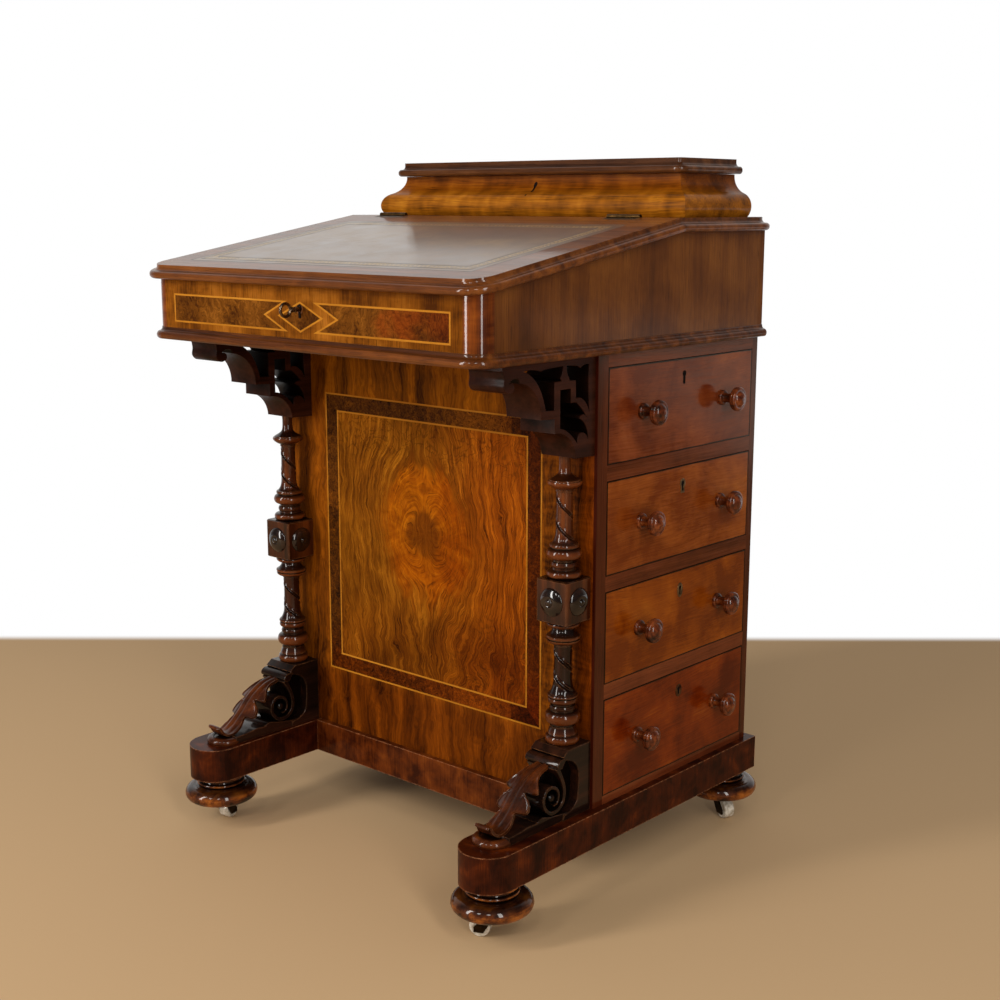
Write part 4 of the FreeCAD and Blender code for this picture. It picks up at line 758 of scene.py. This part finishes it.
def plate(outlines, half, bevel, centre_x, forward_of):
    """Side-view outlines of (forward, height), the later ones holes, carried across a width."""
    curve = bpy.data.curves.new("outline", "CURVE")
    curve.dimensions = "2D"
    curve.fill_mode = "BOTH"
    curve.extrude = (half - bevel) * MM
    curve.bevel_depth = bevel * MM
    curve.bevel_resolution = 2
    curve.offset = -bevel * MM
    for points in outlines:
        spline = curve.splines.new("POLY")
        spline.points.add(len(points) - 1)
        for point, (forward, height) in zip(spline.points, points):
            point.co = (forward * MM, height * MM, 0, 1)
        spline.use_cyclic_u = True
    holder = bpy.data.objects.new("outline", curve)
    mesh = bpy.data.meshes.new_from_object(holder)
    mesh.transform(Matrix((
        (0, 0, -1, centre_x * MM), (-1, 0, 0, forward_of * MM), (0, 1, 0, 0), (0, 0, 0, 1))))
    bpy.data.objects.remove(holder)
    bpy.data.curves.remove(curve)
    return mesh


def block_part(half, low, high, chamfer):
    """Square block with chamfered edges."""
    verts = []
    inner = half - chamfer
    for size, height in ((inner, low), (half, low + chamfer), (half, high - chamfer), (inner, high)):
        near = size - chamfer
        verts += [(x, y, height) for x, y in (
            (near, -size), (size, -near), (size, near), (near, size),
            (-near, size), (-size, near), (-size, -near), (-near, -size))]
    return np.array(verts), tube_faces(4, 8)


# Turned columns: runs of (radius, height), each smooth, with a sharp break between one and the next

LOWER_RUNS = [
    [(16.4, 188.5), (18.4, 190), (19.5, 193.2), (18.6, 196.6), (16.9, 198.4)], [(16.2, 198.8), (16, 199.6)],
    [(16.6, 200), (15.6, 203), (14.4, 206.4), (14.2, 208.6)], [(13.4, 209), (13.4, 210.6)],
    [(15.6, 211.2), (18.4, 213.6), (19.8, 218.4), (18.8, 223), (16.6, 225.2)], [(13.6, 225.8), (13.4, 227.2)],
    [(14.3, 227.8), (14.8, 229.8), (14, 232)], [(12.4, 232.4), (12.4, 234)],
    [(14.2, 234.6), (16.2, 236.4), (17, 238.6), (16.4, 240.8)], [(15.2, 241.2), (15.2, 242.2)],
    [(17, 242.8), (17.2, 244.2), (16.2, 245.6)],
    [(15.2, 246), (13.4, 249), (11.8, 253), (10.8, 258), (10.2, 268), (10, 280), (10, 292),
     (10.4, 301.5)],
    [(11.2, 302), (11.2, 303.4)], [(13, 303.8), (16.4, 305.2), (18.4, 307), (18.8, 308.6)],
    [(17.4, 309.2), (17.4, 310)], [(18.8, 310.4), (19.4, 312), (18.6, 313.4)],
    [(17, 314), (14.4, 316.6), (12.6, 319.6), (12.2, 321.6)],
    [(13, 322), (16.4, 323.4), (18.6, 325.6), (18.4, 327.8), (16.8, 329.5)],
]
UPPER_RUNS = [
    [(16.8, 379), (18.8, 380.8), (19.5, 383.6), (18.7, 386.4), (16.6, 388)], [(13.2, 388.4), (13, 390.4)],
    [(13.6, 391), (14.3, 393.8), (13.5, 396.6)], [(12.1, 397.2), (12, 399.6)],
    [(15.2, 400.2), (18.4, 402.4), (19.8, 406.2), (18.6, 410.2), (16.2, 412.2)],
    [(14.8, 412.6), (14.8, 413.4)], [(16.2, 413.8), (16.7, 415.4), (15.8, 417)],
    [(14.4, 417.4), (12.4, 420), (10.8, 423.4), (9.9, 428), (9.4, 436), (9.2, 450), (9, 464),
     (9, 475)],
    [(9.9, 475.4), (9.9, 477.8)], [(11, 478.2), (14.6, 480), (17.4, 482.2), (18.6, 483.6)],
    [(19, 484.2), (19.2, 485.6), (18.6, 487)], [(17.2, 487.4), (17, 488.4)],
    [(16.4, 488.8), (12.6, 491), (9, 493.6), (7, 497), (6.4, 503), (6.4, 510), (6.8, 514)],
]
BLOCK_Z = (LOWER_RUNS[-1][-1][1], UPPER_RUNS[0][0][1])
BLOCK_CHAMFER = 1.2
COLUMN_STEPS = 128
ROW_GAP = 0.85
SPIRAL_PITCH = 27
SPIRAL_RUN_OUT = 4
# Distance across the groove as a share of the distance up the column
SPIRAL_SLANT = 0.79
GROOVE_HALF = 2
GROOVE_DEPTH = 2.1
LIP_PLACE, LIP_WIDTH, LIP_HEIGHT = 2.7, 0.8, 0.5
# Foot and top of each spiral, and where it meets the left outline
LOWER_SPIRAL = (248, 301, 297)
UPPER_SPIRAL = (420, 475, 470.5)
# Place round the column, as a share of half a turn, of its left outline in the photograph's view
LEFT_OUTLINE = 221.5 / 180


def turning_profile(runs):
    """Rows of radius and height along the runs, evenly spaced."""
    rows = []
    for run in runs:
        length = np.linalg.norm(np.diff(np.array(run), axis=0), axis=1).sum()
        rows += [tuple(row) for row in smooth_path(run, max(2, round(length / ROW_GAP)))]
    return rows


def spiral(low, high, left_end):
    """Two-start groove winding down to the right between two heights, met at a height on the left."""
    def depth(angle, height):
        ends = [min(1, max(0, way / SPIRAL_RUN_OUT)) for way in (height - low, high - height)]
        phase = (angle / math.pi - LEFT_OUTLINE + (height - left_end) / SPIRAL_PITCH) % 1
        near = min(phase, 1 - phase) * SPIRAL_PITCH * SPIRAL_SLANT
        groove = GROOVE_DEPTH * max(0, 1 - (near / GROOVE_HALF) ** 2)
        lip = LIP_HEIGHT * math.exp(-((near - LIP_PLACE) / LIP_WIDTH) ** 2)
        return ends[0] * ends[1] * (groove - lip)
    return depth


column_parts = on_both(
    COLUMN_Y, lathe(turning_profile(LOWER_RUNS), COLUMN_STEPS, spiral(*LOWER_SPIRAL)),
    lathe(turning_profile(UPPER_RUNS), COLUMN_STEPS, spiral(*UPPER_SPIRAL)),
    block_part(COLUMN_HALF, *BLOCK_Z, BLOCK_CHAMFER))
add_carved("turned_columns", mesh_of("turned_columns", column_parts), "columns", ["columns"], sharp=32)

# Bosses on three faces of each block: a plain dome with a nipple
BOSS_ROWS = [
    (16, -0.8), (16, 0.4), (15.6, 1), (14.6, 1.9), (13.2, 2.8), (11.2, 3.7), (9, 4.3), (6.8, 4.7),
    (5.2, 4.8), (4.6, 4.6), (4.2, 4.4), (3.8, 4.6), (3.6, 5.2), (3.2, 5.8), (2.4, 6.2), (1.4, 6.4),
    (0.2, 6.45)]
boss_verts, boss_faces = lathe(BOSS_ROWS, 64)
bosses = []
for angle in (0, math.radians(90), math.radians(-90)):
    out = np.array((math.sin(angle), -math.cos(angle), 0))
    axes = np.array(((math.cos(angle), math.sin(angle), 0), (0, 0, 1), out))
    bosses.append(((0, 0, sum(BLOCK_Z) / 2) + out * COLUMN_HALF + boss_verts @ axes, boss_faces))
boss_mesh = mesh_of("domed_bosses", on_both(COLUMN_Y, *bosses))
add_carved("domed_bosses", boss_mesh, "column_bosses", ["column_bosses"], sharp=60)


# Upper brackets, pierced, with a scrolled tip, as (forward of the front panel, height)

BRACKET_REACH = 151
BRACKET_FOOT, BRACKET_TOP = 514, 624
BRACKET_HALF, BRACKET_BEVEL = 24, 0.6
EYE = (137.8, 600.2)
CURL_START = (124.6, 603.5)


def round_eye(*rows):
    """Points at radii and angles about the scroll's eye."""
    return [(EYE[0] + radius * math.cos(math.radians(a)), EYE[1] + radius * math.sin(math.radians(a)))
            for radius, a in rows]


under = closed_path(
    [(0, BRACKET_FOOT), (33.2, 515.1, 0.207), (68, 545.4), (68, 561.3), (90.6, 562.4, 0.19),
     CURL_START], 14)[:-1]
inner_curl = smooth_path([CURL_START] + round_eye((13.2, 143), (9.4, 116), (6.9, 84), (6, 56)), 16)
eye_round = round_eye(*((4.9, a) for a in range(62, 262, 10)))
outer_curl = smooth_path(
    round_eye((5.3, -92), (6.8, -60), (9, -28), (11.6, 4), (13.4, 38)) + [(148.6, 611.6)], 18)
tip = [(149.4, 616), (BRACKET_REACH, 617.5), (BRACKET_REACH, BRACKET_TOP), (0, BRACKET_TOP)]
bracket_outline = np.vstack((under, inner_curl, eye_round, outer_curl, tip))
# Frets as shares of the bracket's reach and height, with a swell
FRETS = [
    [(0.785, 0.918, -0.05), (0.702, 0.864, -0.04), (0.632, 0.773, -0.03), (0.583, 0.655, -0.02),
     (0.55, 0.52), (0.46, 0.515), (0.46, 0.785), (0.385, 0.785), (0.4, 0.815, 0.12), (0.37, 0.925),
     (0.56, 0.915), (0.61, 0.9, 0.06)],
    [(0.325, 0.925), (0.21, 0.91), (0.175, 0.885, -0.1), (0.08, 0.915, 0.02), (0.07, 0.45, 0.1),
     (0.157, 0.594, 0.08), (0.22, 0.6), (0.225, 0.775), (0.295, 0.78), (0.3, 0.81, -0.12)],
    [(0.395, 0.7), (0.28, 0.7), (0.28, 0.56), (0.22, 0.56, -0.04), (0.105, 0.41, 0.26),
     (0.185, 0.4, -0.16), (0.08, 0.18, 0.2), (0.173, 0.256, 0.14), (0.202, 0.155, 0.05),
     (0.31, 0.285, 0.08), (0.393, 0.325)],
]
frets = [closed_path([(u * BRACKET_REACH, BRACKET_FOOT + v * (BRACKET_TOP - BRACKET_FOOT), *swell)
                      for u, v, *swell in rows], 8) for rows in FRETS]
upper_meshes = [plate([bracket_outline] + frets, BRACKET_HALF, BRACKET_BEVEL, side * COLUMN_X, FRONT_Y)
                for side in SIDES]
add_carved("pierced_brackets", join("pierced_brackets", upper_meshes), "upper_brackets", ["upper_brackets"])


# Lower brackets: capped block, C-scroll with its eye, and the foot strip, as (forward, height)

SCROLL_EYE = (60.4, 136.7)
SCROLL = [
    (55.5, 171), (50, 162), (45, 151.5), (42.3, 140), (45.4, 128), (55, 121.3), (67.5, 121.8), (76.6, 131),
    (77.6, 141.5), (72.5, 149.5), (64, 151), (55.6, 146.6), (52.2, 139), (54.6, 131), (61, 128.6)]
SCROLL_POINTS = 90
scroll = smooth_path(SCROLL, SCROLL_POINTS)
scroll_widths = np.interp(np.linspace(0, 1, SCROLL_POINTS), [0, 0.1, 0.5, 0.8, 1], [6, 5, 4.6, 3.8, 2])
scroll_left = left_of(scroll) * (scroll_widths / 2)[:, None]
scroll_band = np.vstack((scroll + scroll_left, (scroll - scroll_left)[::-1]))
crease = smooth_path(
    [(43, 114), (33, 116.5), (24, 124), (22, 134), (21, 145), (22, 160), (30, 171.5), (44, 178)], 40)
lip = smooth_path(
    [(50, 169.6), (54.5, 169.8), (57.4, 172), (57.8, 175), (55.5, 178.3), (51.5, 180), (46.5, 180.4)], 26)
field = np.vstack(([(0, 107), (48, 107), (46, 113.4)], crease, lip, [(48.6, 182), (40, 188.5), (0, 188.5)]))
shade_fill_outline = closed_path(
    [(0, 109), (62, 109), (72, 121), (76, 131), (76, 142), (70, 150), (62, 152), (54, 150), (52, 166),
     (46, 178), (0, 180)], 6)
strip = closed_path(
    [(0, 107), (138, 107), (138, 116.6, 0.03), (107, 119.2), (90, 118.4, -0.16), (80, 121.6), (69, 118.6),
     (44, 115), (0, 115)], 8)
EYE_ROWS = [
    (0.01, -19.5), (2.2, -19.3), (4.4, -18.2), (5.6, -16.2), (5.8, -14), (5.8, 14), (5.6, 16.2),
    (4.4, 18.2), (2.2, 19.3), (0.01, 19.5)]
lower_meshes = []
shade_fill_meshes = []
for side in SIDES:
    x = side * COLUMN_X
    for outline, half, bevel in ((field, 24, 0.8), (scroll_band, 21.5, 0.9), (strip, 22.5, 0.8)):
        lower_meshes.append(plate([outline], half, bevel, x, FRONT_Y))
    # A near-black plate inside each bracket: painted shade in the recesses round the scroll.
    shade_fill_meshes.append(plate([shade_fill_outline], 12, 0.4, x, FRONT_Y))
    eye = mesh_of("eye", [lathe(EYE_ROWS, 32)])
    eye.transform(Matrix(((0, 0, 1, x * MM), (0, 1, 0, (FRONT_Y - SCROLL_EYE[0]) * MM),
                          (-1, 0, 0, SCROLL_EYE[1] * MM), (0, 0, 0, 1))))
    lower_meshes.append(eye)
add_carved("scrolled_brackets", join("scrolled_brackets", lower_meshes), "lower_brackets", ["lower_brackets"])
add_carved("bracket_shade_fill", join("bracket_shade_fill", shade_fill_meshes), "bracket_shade_fill")


# Acanthus leaves: a bent sheet with three lobes a side, curled up at the toe over a ring pad

SPINE = [
    (57, 172.5), (65, 171.2), (73.5, 169), (82, 165.2), (89, 160.8), (95, 156.5), (101.5, 150.2),
    (111, 140), (119, 132.5), (126.5, 126), (133.5, 121.6), (139.5, 120), (144.8, 120.8), (148.6, 124),
    (150.6, 128), (152.8, 130.6), (155.8, 130.8), (157.4, 128.6), (156.2, 126.4), (154.2, 126.4)]
# Share of the way and half-width: the lobes swell and are cut back in notches.
LEAF_HALVES = [
    (0, 9), (0.08, 10.5), (0.15, 12), (0.21, 15), (0.26, 19), (0.29, 21.5), (0.315, 22.3), (0.332, 21),
    (0.342, 17.5), (0.35, 11.5), (0.362, 10.4), (0.385, 13), (0.41, 17), (0.45, 20.6), (0.49, 22),
    (0.515, 21.4), (0.533, 18.5), (0.543, 13), (0.55, 10.6), (0.565, 10), (0.61, 11.8), (0.67, 14.2),
    (0.73, 14.4), (0.8, 13), (0.86, 11.4), (0.94, 10.2), (1, 9.4)]
LEAF_ROWS = 220
LEAF_COLUMNS = 33
# Place off the middle and width of the leaf's veins, its midrib and the cut beside them
VEIN, MIDRIB, CUT = (5, 2.6), (0, 1.3), (9.5, 1.2)
CUT_DEPTH = 0.7
RIM_WIDTH, RIM_THINNING = 1.6, 0.25
DROOP_HALF, DROOP_POWER = 22, 1.7
PAD_FORWARD = 138.6
PAD_ROWS = [
    (0.01, 107), (21.6, 107), (22.6, 108.2), (22.9, 110), (22.3, 112.2), (20.6, 114), (18.2, 115),
    (16, 115.2), (14.6, 114.6), (14, 113.6), (0.01, 113.4)]


def ridge(off, place, width):
    """Bell-shaped height of a ridge at a place."""
    return math.exp(-((off - place) / width) ** 2)


def leaf_part():
    """Top and underside of a leaf, joined round the rim."""
    spine = smooth_path(SPINE, LEAF_ROWS)
    up = left_of(spine)
    place = np.linspace(0, 1, LEAF_ROWS)
    half = np.interp(place, *zip(*LEAF_HALVES))
    thick = np.interp(place, [0, 0.1, 0.6, 0.75, 1], [5, 4.6, 4.6, 4, 3.2])
    droop = np.interp(place, [0, 0.1, 0.25, 0.4, 0.55, 0.68, 1], [1.5, 3, 5.5, 6.5, 6, 2, 0.3])
    vein = np.interp(place, [0, 0.6, 0.8], [1.1, 1.1, 0])
    raised = np.interp(place, [0, 0.2, 0.55, 0.65], [0, 1.3, 1.3, 0])
    top = []
    under = []
    for i in range(LEAF_ROWS):
        for share in np.linspace(-1, 1, LEAF_COLUMNS):
            x = share * half[i]
            off = abs(x)
            lift = vein[i] * (ridge(off, *VEIN) - ridge(off, *MIDRIB)) - CUT_DEPTH * ridge(off, *CUT)
            lift += raised[i] * ridge(off, half[i], RIM_WIDTH) - droop[i] * (off / DROOP_HALF) ** DROOP_POWER
            for points, level in ((top, lift), (under, lift - thick[i] * (1 - RIM_THINNING * share ** 2))):
                forward, height = spine[i] + up[i] * level
                points.append((x, -forward, height))
    rim = [i * LEAF_COLUMNS for i in range(LEAF_ROWS)]
    rim += [(LEAF_ROWS - 1) * LEAF_COLUMNS + j for j in range(1, LEAF_COLUMNS)]
    rim += [i * LEAF_COLUMNS + LEAF_COLUMNS - 1 for i in range(LEAF_ROWS - 2, -1, -1)]
    rim += range(LEAF_COLUMNS - 2, 0, -1)
    return np.array(top + under), sheet_faces(LEAF_ROWS, LEAF_COLUMNS, rim)


leaf_parts = on_both(FRONT_Y, leaf_part()) + on_both(FRONT_Y - PAD_FORWARD, lathe(PAD_ROWS, 72))
leaf_mesh = mesh_of("carved_leaves", leaf_parts)
add_carved("carved_leaves", leaf_mesh, "acanthus_leaves", ["acanthus_leaves"], sharp=50)


# Keyholes: dark plates of painted shade standing for the holes

def oval(y, z, half_y, half_z, degrees):
    """Points of an oval in (-y, z) at angles."""
    return [(-y + half_y * math.cos(a), z + half_z * math.sin(a)) for a in np.radians(degrees)]


def keyhole(y, z, head, slot, height, grow=0):
    """Outline of a round-headed keyhole in (-y, z), centred on a place."""
    crown = oval(y, z + height / 2 - head, head + grow, head + grow, np.linspace(-50, 230, 25))
    foot = z - height / 2 - grow
    return crown + [(-y - slot - grow, foot), (-y + slot + grow, foot)]


ROUND = range(0, 360, 10)
# Painted shade: the near-black fill of every keyhole.
hole_tree = Tree("keyhole_shade")
hole_shade_mottle = hole_tree.grey(hole_tree.place(), 400, 2)
hole_shade = hole_tree.finish(**{"Base Color": hole_tree.ramp(hole_shade_mottle, (0.3, 6, 3, 2), (0.7, 16, 8, 5)),
                                "Roughness": 0.8, "Specular IOR Level": 0.1})
escutcheon = metal("keyhole_brass", (150, 122, 82), (70, 50, 30), 0.4)
rusted = metal("keyhole_rust", (120, 84, 52), (58, 26, 12), 0.5)
DRAWER_FACE_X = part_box("drawer_1_front")[1].x / MM
KEYHOLE_HALF = 1
HOLE_SINK, RIM_SINK = 0.85, 0.55
RIM_BEVEL = 0.25
# Place along Y and Z, head radius, half of the slot and height; rim outline and its metal
DRAWER_KEYHOLES = {
    1: ((104, 586.3, 3.6, 2, 15.5), None, None),
    2: ((106, 458.6, 3, 1.5, 12), keyhole(106, 458.6, 3, 1.5, 12, 2.6), escutcheon),
    3: ((106, 332.7, 2.4, 1.2, 10.5), oval(106, 332.7, 5.4, 8.8, ROUND), escutcheon),
    4: ((108.4, 207.3, 2.6, 1.4, 9), oval(108.4, 207.3, 6.4, 7.8, ROUND), rusted),
}
for number, (shape, rim, rim_metal) in DRAWER_KEYHOLES.items():
    hole = keyhole(*shape)
    body = f"drawer_{number}"
    hole_mesh = plate([hole], KEYHOLE_HALF, 0, DRAWER_FACE_X - HOLE_SINK, 0)
    add_piece(body + "_keyhole", hole_mesh, hole_shade, body)
    if rim_metal:
        rim_mesh = plate([rim, hole], KEYHOLE_HALF, RIM_BEVEL, DRAWER_FACE_X - RIM_SINK, 0)
        add_piece(body + "_escutcheon", rim_mesh, rim_metal, body)

# A slighter key than the solid one, and the keyhole it stands in: a dark plate of painted shade
KEY_Z = 670
KEY_REACH = 29
BOW = 6.9
WIRE = 1.7
BOW_STEPS, WIRE_STEPS = 40, 16
STEM_OVERLAP = 0.4
BIT_SIZE = (1.2, 4, 9.5)
BIT_BACK, BIT_DROP = 4.2, 9.6
BIT_CHAMFER = 0.08
SLOT_HEAD, SLOT_RISE = 3.9, 1.2
SLOT_HALF, SLOT_DROP = 1.5, 9.5
SLOT_PLATE_HALF, SLOT_OUT = 0.35, 0.55
STEM_HOLE = 2.75
bow_y = RAIL_FACE_Y - KEY_REACH + BOW + WIRE
bow_verts = []
for turn in np.linspace(0, 2 * math.pi, BOW_STEPS, endpoint=False):
    for twist in np.linspace(0, 2 * math.pi, WIRE_STEPS, endpoint=False):
        reach = BOW + WIRE * math.cos(twist)
        y, z = bow_y + reach * math.cos(turn), KEY_Z + reach * math.sin(turn)
        bow_verts.append((WIRE * math.sin(twist), y, z))
bow_size = BOW_STEPS * WIRE_STEPS
bow_faces = [tuple(i % bow_size for i in face) for face in grid_faces(BOW_STEPS + 1, WIRE_STEPS, True)]
stem_y = bow_y + BOW - STEM_OVERLAP
key_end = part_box("key")[1].y / MM
STEM_ROWS = [
    (1.6, 0), (2.3, 0.8), (2.3, 1.8), (3.2, 2.2), (3.2, 3.2), (2.5, 3.8), (2.5, 5.6), (3, 6), (3, 6.8),
    (2.5, 7.2), (2.5, key_end - stem_y)]
stem_verts, stem_faces = lathe(STEM_ROWS, 24)
stem_verts = np.stack((stem_verts[:, 0], stem_y + stem_verts[:, 2], KEY_Z - stem_verts[:, 1]), axis=1)
bit_verts, bit_faces = block_part(1, 0, 1, BIT_CHAMFER)
bit_verts = bit_verts * BIT_SIZE + (0, key_end - BIT_BACK, KEY_Z - BIT_DROP)
key_parts = [(bow_verts, bow_faces), (stem_verts, stem_faces), (bit_verts, bit_faces)]
add_piece("small_key", mesh_of("small_key", key_parts), materials["key"], "key", ["key"])
slot_outline = oval(0, KEY_Z + SLOT_RISE, SLOT_HEAD, SLOT_HEAD, np.linspace(-60, 240, 25))
slot_outline += [(side * SLOT_HALF, KEY_Z - SLOT_DROP) for side in SIDES]
stem_hole = oval(0, KEY_Z, STEM_HOLE, STEM_HOLE, range(0, 360, 15))
slot_mesh = plate([slot_outline, stem_hole], SLOT_PLATE_HALF, 0, 0, 0)
slot_place = Matrix.Translation((0, (RAIL_FACE_Y - SLOT_OUT) * MM, 0))
slot_mesh.transform(slot_place @ Matrix.Rotation(math.pi / 2, 4, "Z"))
add_piece("lid_keyhole", slot_mesh, hole_shade)

# The stationery case's keyhole and the pin under it, dark shells of painted shade, follow its coved front, as
# (height, half-width).
CASE_KEY_X = 6.5
CASE_KEY_ROWS = [
    (808.4, 0.7), (807.6, 1.7), (806.4, 2.3), (804.8, 2.5), (803.2, 2.1), (802, 1.4), (800, 1.3),
    (798, 1.4), (796.6, 1.5), (796, 1.2)]
PIN_X = 3.5
CASE_HOLE_LIFTS = (-0.25, 1.2)
PIN_ROWS = [(793.4, 0.4), (792.9, 1), (792.3, 1.2), (791.7, 1), (791.2, 0.4)]
bpy.context.view_layer.update()


def on_case(x, z):
    """Forward face of the stationery case at a place, along Y."""
    place = nodes["stationery_case"].ray_cast(Vector((x * MM, -1, z * MM)), Vector((0, 1, 0)))[1]
    return place.y / MM


def case_hole(rows, centre_x):
    """Thin shell on the case's face."""
    verts = []
    for lift in CASE_HOLE_LIFTS:
        for z, half in rows:
            verts += [(centre_x + sign * half, on_case(centre_x, z) + lift, z) for sign in (-1, 0, 1)]
    count = len(rows)
    back = [3 * i + 2 for i in range(count - 1, -1, -1)]
    rim = [3 * i for i in range(count)] + [3 * count - 2] + back + [1]
    return verts, sheet_faces(count, 3, rim)


case_holes = [case_hole(CASE_KEY_ROWS, CASE_KEY_X), case_hole(PIN_ROWS, PIN_X)]
add_piece("stationery_keyhole", mesh_of("stationery_keyhole", case_holes), hole_shade)


# Stage, light and camera

BACK = (-0.6635, 0.7482, 0)
WALL = 0.83
FLOOR_HALF = 7
WHITE = (1, 1, 1, 1)
floor_mesh = bpy.data.meshes.new("floor")
floor_corners = [(x * FLOOR_HALF, y * FLOOR_HALF, 0) for x, y in ((-1, -1), (1, -1), (1, 1), (-1, 1))]
floor_mesh.from_pydata(floor_corners, [], [(0, 1, 2, 3)])
floor = bpy.data.objects.new("floor", floor_mesh)
scene.collection.objects.link(floor)
t = Tree("floor_paint")
rays = t.add("LightPath").outputs
shown = t.most(rays["Is Camera Ray"], rays["Is Glossy Ray"], rays["Is Transmission Ray"])
beyond = t.step(t.vector("DOT_PRODUCT", t.where(), BACK), WALL - 0.03, WALL + 0.01)
paint = t.add("BsdfPrincipled", {
    "Base Color": tint(184, 153, 115), "Roughness": 0.75, "Specular IOR Level": 0.15})
white = t.add("Emission", {"Color": WHITE, "Strength": 1})
ground = t.add("MixShader", {0: t.times(shown, beyond), 1: paint.outputs[0], 2: white.outputs[0]})
t.add("OutputMaterial", {"Surface": ground.outputs[0]})
floor_mesh.materials.append(t.material)

scene.world = bpy.data.worlds.new("studio")
t = Tree("studio", scene.world)
rays = t.add("LightPath").outputs
seen = t.most(rays["Is Camera Ray"], rays["Is Transmission Ray"])
# Polished faces show the white wall behind the object and the dim room before it.
behind = t.vector("DOT_PRODUCT", t.add("TexCoord").outputs["Generated"], BACK)
soft = t.add("Background", {"Color": (1, 0.975, 0.94, 1), "Strength": 0.42})
mirrored = t.add("Background", {"Color": (1, 0.985, 0.96, 1), "Strength": t.step(behind, 0.15, 0.9, 0.07, 1)})
plain = t.add("Background", {"Color": WHITE, "Strength": 1})
lit = t.add("MixShader", {0: rays["Is Glossy Ray"], 1: soft.outputs[0], 2: mirrored.outputs[0]})
whole = t.add("MixShader", {0: seen, 1: lit.outputs[0], 2: plain.outputs[0]})
t.add("OutputWorld", {"Surface": whole.outputs[0]})

# Tall soft lights standing round the object: azimuth, height, width, length and power
LIGHTS = {"left_window": (-22, 1.35, 0.42, 2.2, 54), "right_window": (62, 1.35, 0.42, 2.2, 38),
          "left_lantern": (6, 2, 0.36, 0.6, 9), "right_lantern": (34, 2, 0.36, 0.6, 9)}
LIGHT_DISTANCE = 2.6
LIGHT_TARGET = Vector((0, 0, 0.45))
for name, (azimuth, centre, width, length, power) in LIGHTS.items():
    data = bpy.data.lights.new(name, "AREA")
    data.shape = "RECTANGLE"
    data.size = width
    data.size_y = length
    data.energy = power
    data.color = (1, 0.97, 0.93)
    lamp = bpy.data.objects.new(name, data)
    angle = math.radians(azimuth)
    lamp.location = (LIGHT_DISTANCE * math.sin(angle), -LIGHT_DISTANCE * math.cos(angle), centre)
    lamp.rotation_euler = (LIGHT_TARGET - lamp.location).to_track_quat("-Z", "Y").to_euler()
    scene.collection.objects.link(lamp)

# Camera as fitted to the photograph
CAMERA_PLACE = (1.2311, -1.31425, 0.7828)
YAW, PITCH, ROLL = (math.radians(a) for a in (41.57, -11.31, 0.08))
camera_data = bpy.data.cameras.new("camera")
camera_data.sensor_width = 36
camera_data.lens = 53.49
camera = bpy.data.objects.new("camera", camera_data)
scene.collection.objects.link(camera)
scene.camera = camera
ahead = Vector((-math.sin(YAW) * math.cos(PITCH), math.cos(YAW) * math.cos(PITCH), math.sin(PITCH)))
right = Vector((math.cos(YAW), math.sin(YAW), 0))
up = right.cross(ahead)
right, up = math.cos(ROLL) * right + math.sin(ROLL) * up, math.cos(ROLL) * up - math.sin(ROLL) * right
camera.matrix_world = Matrix.Translation(CAMERA_PLACE) @ Matrix((right, up, -ahead)).transposed().to_4x4()
scene.view_settings.view_transform = "Standard"
